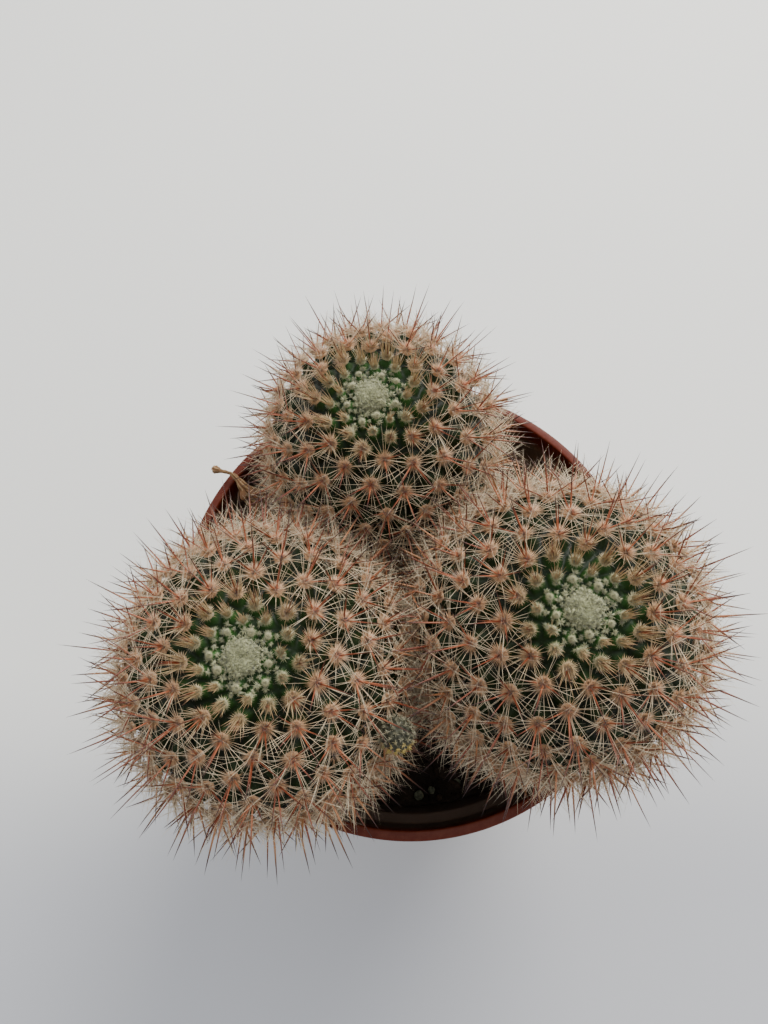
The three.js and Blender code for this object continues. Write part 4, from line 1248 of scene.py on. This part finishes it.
class CACTUS_OT_radial_spines(bpy.types.Operator):
    """Make the thin pale spines that radiate from every areole"""

    bl_idname = "cactus.radial_spines"
    bl_label = "Radial spines"

    def execute(self, context):
        spines = context.scene.cactus_spines

        def shape(plant, others):
            return radial_spines(plant, others, spines)

        put_on_plants(context.scene, self.cream(spines), "radial_spines", "radial_spines", shape)
        return {"FINISHED"}

    def cream(self, s):
        finish = Finish("radial_spines", roughness=0.38, specular_ior_level=0.5)
        along, brush, chance = finish.value("along"), finish.value("brush"), finish.value("chance")
        tint = finish.mix(along.span(0.1, 0.5), s.radial_foot, s.radial)
        tint = finish.mix(chance.span(0.6, 1.0) * 0.5, tint, s.radial_foot)
        dark = along.span(0.25, 0.9) * chance.span(0.1, 0.8)
        bristle = finish.mix(dark, s.brush, shaded(s.central_base, 0.55))
        tint = finish.mix(brush * 0.85, tint, bristle)
        return finish.feed(base_color=tint, roughness=0.32 + chance * 0.15)


class CACTUS_OT_central_spines(bpy.types.Operator):
    """Make the stout red-brown spines in the middle of every areole"""

    bl_idname = "cactus.central_spines"
    bl_label = "Central spines"

    def execute(self, context):
        spines = context.scene.cactus_spines

        def shape(plant, others):
            return central_spines(plant, others, spines)

        put_on_plants(context.scene, self.horn(spines), "central_spines", "central_spines", shape)
        return {"FINISHED"}

    def horn(self, s):
        finish = Finish("central_spines", roughness=0.36, specular_ior_level=0.5)
        along, chance = finish.value("along"), finish.value("chance")
        foot = finish.mix(chance.span(0.2, 1.0), s.central_middle, s.central_base)
        tint = finish.mix(along.span(0.12, 0.55), foot, s.central_middle)
        tint = finish.mix(finish.value("old") * chance.span(0.1, 0.7) * 0.75, tint, s.central_old)
        tint = finish.mix(along.span(0.36, 0.8), tint, s.central_tip)
        return finish.feed(base_color=tint, roughness=0.3 + chance * 0.15)


class CACTUS_OT_crown_wool(bpy.types.Operator):
    """Make the felt on each crown"""

    bl_idname = "cactus.crown_wool"
    bl_label = "Crown wool"

    def execute(self, context):
        def shape(plant, others):
            return crown_felt(plant)

        finish = self.felt(context.scene.cactus_wool)
        put_on_plants(context.scene, finish, "felt", "crown_wool", shape, "crown_wool")
        return {"FINISHED"}

    def felt(self, s):
        sheen = dict(sheen_weight=0.4, sheen_roughness=0.5)
        finish = Finish("crown_wool", roughness=0.9, specular_ior_level=0.2, **sheen)
        tint = finish.mix(finish.value("chance"), shaded(s.young, 0.7), shaded(s.young, 1.3))
        tint = finish.mix(finish.noise(1500, 3).span(0.4, 0.8) * 0.5, tint, shaded(s.young, 0.55))
        return finish.feed(base_color=tint)


def node_box(node):
    low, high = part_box(node)
    return (np.array(low) + np.array(high)) / 2, (np.array(high) - np.array(low)) / 2


class CACTUS_OT_young_growth(bpy.types.Operator):
    """Make the young growth on the left stem: a small globe, raised round each tubercle as a cosine of the
    share of the way to the border with the next, with a stalk and pale tufts"""

    bl_idname = "cactus.young_growth"
    bl_label = "Young growth"

    TUBERCLES = 74
    LEVELS, SIDES = 70, 110

    def execute(self, context):
        scene = context.scene
        s = scene.cactus_small
        parent = Plant("left", scene.cactus_plant, scene.cactus_pot, scene.cactus_wool)
        low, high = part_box("young_offset")
        radius = s.offset_radius
        centre = np.array([high.x - radius, low.y + radius, high.z - radius])
        axis = unit(centre - parent.centre)
        k = np.arange(self.TUBERCLES)
        height = 1 - (k + 0.5) / self.TUBERCLES * 1.75
        knobs = around(np.sqrt(1 - height**2), k * GOLDEN_ANGLE, height)
        ball = globe(self.LEVELS, self.SIDES)
        near = np.sort(np.arccos(np.clip(ball @ knobs.T, -1, 1)), 1)[:, :2]
        way = np.clip(2 * near[:, 0] / (near[:, 0] + near[:, 1]), 0, 1)
        lift = 0.86 + 0.12 * np.cos(math.pi * way) * 0.5 + 0.02 * lumps(ball, 0.12, 31)
        skin = ball * lift[:, None] * radius
        foot = -np.linalg.norm(centre - parent.centre) + parent.radius + 0.5 * MM
        stalk = smooth(-0.86, -1.0, ball[:, 2])
        skin[:, 2] = skin[:, 2] * (1 - stalk) + stalk * foot
        frame_of = np.array(Vector((0, 0, 1)).rotation_difference(Vector(axis)).to_matrix())
        # The valley share is also the mask of the painted shade between the tubercles in the skin's finish.
        values = {"valley": way, "chance": 0.5 + 0.5 * lumps(ball, 0.4, 32)}
        faces, maps = wrapped(self.LEVELS, self.SIDES)
        points, nodes = skin @ frame_of.T + centre, ["young_offset"]
        put("young_globe", points, faces, maps, self.skin(s), "young_growth", nodes, values)
        points, faces, maps, values = self.tufts(knobs, radius, (knobs @ frame_of.T)[:, 1])
        points = points @ frame_of.T + centre
        put("young_tufts", points, faces, maps, self.tuft_finish(s), "young_growth", nodes, values)
        return {"FINISHED"}

    def tufts(self, knobs, radius, depth):
        """Short hairs that fan out from the tip of each tubercle; those towards -Y are yellow."""
        each = 16
        serial = np.arange(len(knobs))[:, None] * each + np.arange(each)
        direction = unit(any_way(serial, 71) + 0.9 * knobs[:, None])
        foot = knobs[:, None] * radius * 0.9 + 0 * direction
        reach = radius * (0.13 + 0.2 * scatter(serial, 74) ** 2)
        width = 0.055 * MM + 0 * reach
        flat = [a.reshape(-1, 3) for a in (foot, direction)]
        points, faces, maps, values = thorns(*flat, reach.ravel(), width.ravel(), 0 * flat[0], 3, 2)
        values["age"] = np.repeat(smooth(-0.35, -0.8, depth), each * (len(points) // reach.size))
        return points, faces, maps, values

    def skin(self, s):
        finish = Finish("young_growth", roughness=0.55, specular_ior_level=0.35)
        # Painted shade: the valleys between the young growth's tubercles are darkened to a quarter of its skin
        # colour.
        green = finish.mix(finish.value("valley").span(0.2, 0.9), s.offset_skin, shaded(s.offset_skin, 0.25))
        green = finish.mix(finish.value("chance") * 0.5, green, shaded(s.offset_skin, 1.7))
        finish.feed(base_color=green)
        return finish.bump(finish.noise(3000, 3), 0.0001, 0.7)

    def tuft_finish(self, s):
        finish = Finish("young_tufts", roughness=0.85, specular_ior_level=0.25)
        tint = finish.mix(finish.value("chance"), s.tuft, s.tuft_pale)
        tint = finish.mix(finish.value("age"), tint, s.tuft_yellow)
        return finish.feed(base_color=tint)


class CACTUS_OT_withered_flower(bpy.types.Operator):
    """Make the withered flower that lies over the lip: a tube along a smooth spine, its radius ribbed by
    cosines of its turn, with shrivelled petals at its wide end"""

    bl_idname = "cactus.withered_flower"
    bl_label = "Withered flower"

    BEARING = 137
    TUBE_LEVELS, TUBE_SIDES = 90, 60
    PETALS, PETAL_LEVELS, PETAL_SIDES = 9, 15, 12

    # Stations along it, in millimetres: outwards from the rim, above the lip, and radius.
    STATIONS = (
        (3.1, 0.4, 0.35),
        (2.5, 1.3, 0.8),
        (1.7, 1.9, 0.62),
        (0.9, 2.0, 0.36),
        (0.0, 1.75, 0.34),
        (-1.1, 1.3, 0.4),
        (-2.4, 1.0, 0.5),
        (-3.6, 0.6, 0.8),
        (-5.0, -0.4, 1.3),
        (-6.4, -1.5, 1.75),
        (-7.6, -2.4, 1.9),
        (-8.6, -3.2, 1.2),
    )

    def execute(self, context):
        s = context.scene.cactus_small
        bearing = math.radians(self.BEARING)
        out = np.array([math.cos(bearing), math.sin(bearing), 0])
        across = np.array([-out[1], out[0], 0])
        stations = np.array(self.STATIONS) * MM
        at = np.linspace(0, len(stations) - 1, self.TUBE_LEVELS)
        spread = np.stack([np.interp(at, np.arange(len(stations)), stations[:, i]) for i in range(3)], 1)
        for _ in range(6):
            spread[1:-1] = (spread[:-2] + 2 * spread[1:-1] + spread[2:]) / 4
        spine = (RIM_RADIUS + spread[:, :1]) * out + (POT_HEIGHT + spread[:, 1:2]) * np.array([0, 0, 1.0])
        spine += across * (0.5 * MM * np.sin(at * 0.9))[:, None]
        along = unit(np.gradient(spine, axis=0))
        side = unit(np.cross(along, [0, 0, 1.0]))
        lift = np.cross(side, along)
        turns = round_turns(self.TUBE_SIDES)
        phase = turns[None] + 0.25 * np.sin(at[:, None] * 1.3)
        depth = (0.10 + 0.16 * smooth(6.5, 10, at))[:, None]
        ribs = 1 + depth * np.cos(7 * phase) + 0.05 * np.cos(17 * phase)
        rim = np.cos(turns)[None, :, None] * side[:, None] + np.sin(turns)[None, :, None] * lift[:, None]
        tube = spine[:, None] + rim * (spread[:, 2][:, None] * ribs)[..., None]
        tube += rim * (0.12 * MM * fractal(tube, 0.9 * MM, 41)[..., None])
        points = np.concatenate([spine[:1], tube.reshape(-1, 3), spine[-1:]])
        faces, maps = wrapped(self.TUBE_LEVELS, self.TUBE_SIDES)
        values = {"rib": np.concatenate([[0.5], (0.5 + 0.5 * np.cos(7 * phase)).ravel(), [0.5]])}
        finish = self.paper(s)
        put("flower_tube", points, faces, maps, finish, "dry_flower", ["withered_flower"], values)
        petals = joined([self.petal(i, spine, along, side, lift) for i in range(self.PETALS)])
        put("flower_petals", *petals[:3], finish, "dry_flower", ["withered_flower"], petals[3])
        return {"FINISHED"}

    def petal(self, i, spine, along, side, lift):
        """A shrivelled petal: a flat closed ribbon that leaves the tube, curls as a sine of the share of its
        length, and widens and narrows as another."""
        start = 58 + (i * 7) % 20
        turn = i * GOLDEN_ANGLE
        reach = (2.6 + 1.6 * scatter(i, 81)) * MM
        u = np.linspace(0, 1, self.PETAL_LEVELS)
        out = math.cos(turn) * side[start] + math.sin(turn) * lift[start]
        away = unit((along[start] + 0.55 * out)[None])[0]
        curl = np.sin(u * (2.2 + 1.5 * scatter(i, 82)))
        middle = spine[start] + out * 0.7 * MM + reach * (u[:, None] * away + 0.3 * (curl * u)[:, None] * out)
        across = unit(np.cross(away, out)[None])[0]
        swell = np.sin(math.pi * np.minimum(1, u * 0.8 + 0.12)) ** 1.2
        width = (0.12 + 0.5 * swell) * MM * (0.8 + 0.5 * scatter(i, 83))
        turns = round_turns(self.PETAL_SIDES)
        ring = (
            middle[:, None]
            + across * (np.cos(turns) * width[:, None])[..., None]
            + out * (np.sin(turns) * 0.07 * MM + 0.35 * (np.cos(turns) ** 2) * width[:, None])[..., None]
        )
        points = np.concatenate([middle[:1], ring.reshape(-1, 3), ring[-1:].mean(1)])
        faces, maps = wrapped(self.PETAL_LEVELS, self.PETAL_SIDES)
        cell = np.array([i % 3, i // 3])
        maps = [(m * 0.9 + 0.05 + cell) / 3 for m in maps]
        return points, faces, maps, {"rib": np.full(len(points), scatter(i, 84))}

    def paper(self, s):
        finish = Finish("dry_flower", roughness=0.78, specular_ior_level=0.3)
        tint = finish.mix(finish.value("rib").span(0.35, 0.9), s.petal, s.petal_pale)
        tint = finish.mix(finish.noise(900, 4, 0.65).span(0.45, 0.75) * 0.6, tint, shaded(s.petal, 0.4))
        finish.feed(base_color=tint)
        return finish.bump(finish.noise(1700, 4), 0.00015, 0.8)


class CACTUS_OT_grains(bpy.types.Operator):
    """Make the pale grains and the chip of bark on the soil: blunt globes pushed about by value noise"""

    bl_idname = "cactus.grains"
    bl_label = "Grains"

    LEVELS, SIDES = 22, 36

    def execute(self, context):
        s = context.scene.cactus_small
        grit, bark = self.stone("grit", s.grit), self.stone("bark", s.bark)
        lying = [(f"grit_{number}", grit, "grit") for number in (1, 2, 3)] + [("bark_chip", bark, "bark")]
        ball = globe(self.LEVELS, self.SIDES)
        faces, maps = wrapped(self.LEVELS, self.SIDES)
        for i, (node, finish, slot) in enumerate(lying):
            middle, half = node_box(node)
            lift = 1 + 0.22 * fractal(ball + i * 7.7, 0.9, 51 + i, 4)
            blunt = np.sign(ball) * np.abs(ball) ** 0.8
            points = middle + unit(blunt) * lift[:, None] * half * 0.95
            put(f"{node}_lump", points, faces, maps, finish, slot, [node])
        return {"FINISHED"}

    def stone(self, name, tint):
        finish = Finish(name, roughness=0.85, specular_ior_level=0.3)
        shade = finish.mix(finish.noise(1400, 4, 0.65).span(0.35, 0.7), shaded(tint, 0.4), tint)
        finish.feed(base_color=shade)
        return finish.bump(finish.noise(2600, 3), 0.0002, 0.8)


class CACTUS_OT_stage(bpy.types.Operator):
    """Set the floor, the lights and the camera"""

    bl_idname = "cactus.stage"
    bl_label = "Stage"

    def execute(self, context):
        s = context.scene.cactus_stage
        self.floor(s)
        self.lights(s)
        self.camera(s)
        return {"FINISHED"}

    def floor(self, s):
        reach = 2.5
        mesh = bpy.data.meshes.new("floor")
        corners = [(-reach, -reach, 0), (reach, -reach, 0), (reach, reach, 0), (-reach, reach, 0)]
        mesh.from_pydata(corners, [], [(0, 1, 2, 3)])
        finish = Finish("floor_sheet", roughness=0.75, specular_ior_level=0.3)
        place = finish.node("ShaderNodeSeparateXYZ", None, {0: finish.place()})
        # Painted shadow: towards -Y the sheet turns to the painted shadow colour, standing in for a broad
        # shadow over its near side.
        across = place.wire("Y") + place.wire("X") * 0.07 + (finish.noise(7, 2) - 0.5) * 0.05
        near = across.span(0.012, -0.062)
        sheet = finish.mix(finish.noise(9, 3), s.floor_colour, shaded(s.floor_colour, 0.96))
        finish.feed(base_color=finish.mix(near, sheet, s.painted_shadow_colour))
        mesh.materials.append(finish.material)
        floor = bpy.data.objects.new("floor", mesh)
        bpy.context.scene.collection.objects.link(floor)

    def lights(self, s):
        world = bpy.data.worlds.new("room")
        bpy.context.scene.world = world
        world.use_nodes = True
        sky = world.node_tree.nodes["Background"]
        sky.inputs["Color"].default_value = (*s.sky_colour, 1.0)
        nodes, links = world.node_tree.nodes, world.node_tree.links
        bright_side = nodes.new("ShaderNodeVectorMath")
        bright_side.operation = "DOT_PRODUCT"
        bright_side.inputs[1].default_value = s.sky_bright
        links.new(nodes.new("ShaderNodeTexCoord").outputs["Generated"], bright_side.inputs[0])
        fade = nodes.new("ShaderNodeMapRange")
        fade.interpolation_type = "SMOOTHSTEP"
        for key, value in {"From Min": -0.8, "From Max": 0.7, "To Min": 0.45, "To Max": 1.7}.items():
            fade.inputs[key].default_value = s.world_strength * value if key.startswith("To") else value
        links.new(bright_side.outputs["Value"], fade.inputs["Value"])
        links.new(fade.outputs["Result"], sky.inputs["Strength"])
        self.softbox("window", s.window_place, s.window_size, s.window_power, s.window_colour)
        self.softbox("fill", s.fill_place, s.fill_size, s.fill_power, s.fill_colour)

    def softbox(self, name, place, size, power, tint):
        light = bpy.data.lights.new(name, "AREA")
        light.shape, light.size, light.energy, light.color = "DISK", size, power, tint
        box = bpy.data.objects.new(name, light)
        box.location = place
        box.rotation_euler = (Vector((0, 0, 0.07)) - Vector(place)).to_track_quat("-Z", "Y").to_euler()
        bpy.context.scene.collection.objects.link(box)

    def camera(self, s):
        data = bpy.data.cameras.new("camera")
        data.sensor_width, data.lens, data.clip_start = 36, s.lens, 0.01
        camera = bpy.data.objects.new("camera", data)
        turn = Matrix.Rotation(s.camera_tilt, 4, "X") @ Matrix.Rotation(s.camera_roll, 4, "Z")
        camera.matrix_world = Matrix.Translation(s.camera_place) @ turn
        bpy.context.scene.collection.objects.link(camera)
        bpy.context.scene.camera = camera


class CACTUS_PT_panel(bpy.types.Panel):
    """Buttons for the pieces of the potted cactus"""

    bl_label = "Potted Round Cactus"
    bl_space_type = "VIEW_3D"
    bl_region_type = "UI"
    bl_category = "Cactus"

    def draw(self, context):
        for operator in OPERATORS:
            self.layout.operator(operator.bl_idname)


OPERATORS = (
    CACTUS_OT_pot,
    CACTUS_OT_soil,
    CACTUS_OT_stems,
    CACTUS_OT_areole_wool,
    CACTUS_OT_radial_spines,
    CACTUS_OT_central_spines,
    CACTUS_OT_crown_wool,
    CACTUS_OT_young_growth,
    CACTUS_OT_withered_flower,
    CACTUS_OT_grains,
    CACTUS_OT_stage,
)
SETTINGS = {
    "cactus_pot": PotSettings,
    "cactus_plant": PlantSettings,
    "cactus_spines": SpineSettings,
    "cactus_wool": WoolSettings,
    "cactus_small": SmallSettings,
    "cactus_stage": StageSettings,
}


def register():
    for group in SETTINGS.values():
        bpy.utils.register_class(group)
    for key, group in SETTINGS.items():
        setattr(bpy.types.Scene, key, PointerProperty(type=group))
    for item in (*OPERATORS, CACTUS_PT_panel):
        bpy.utils.register_class(item)


def unregister():
    for item in (CACTUS_PT_panel, *reversed(OPERATORS)):
        bpy.utils.unregister_class(item)
    for key, group in SETTINGS.items():
        delattr(bpy.types.Scene, key)
        bpy.utils.unregister_class(group)


def main():
    register()
    bpy.ops.cactus.pot()
    bpy.ops.cactus.soil()
    bpy.ops.cactus.stems()
    bpy.ops.cactus.areole_wool()
    bpy.ops.cactus.radial_spines()
    bpy.ops.cactus.central_spines()
    bpy.ops.cactus.crown_wool()
    bpy.ops.cactus.young_growth()
    bpy.ops.cactus.withered_flower()
    bpy.ops.cactus.grains()
    bpy.ops.cactus.stage()


if __name__ == "__main__":
    main()
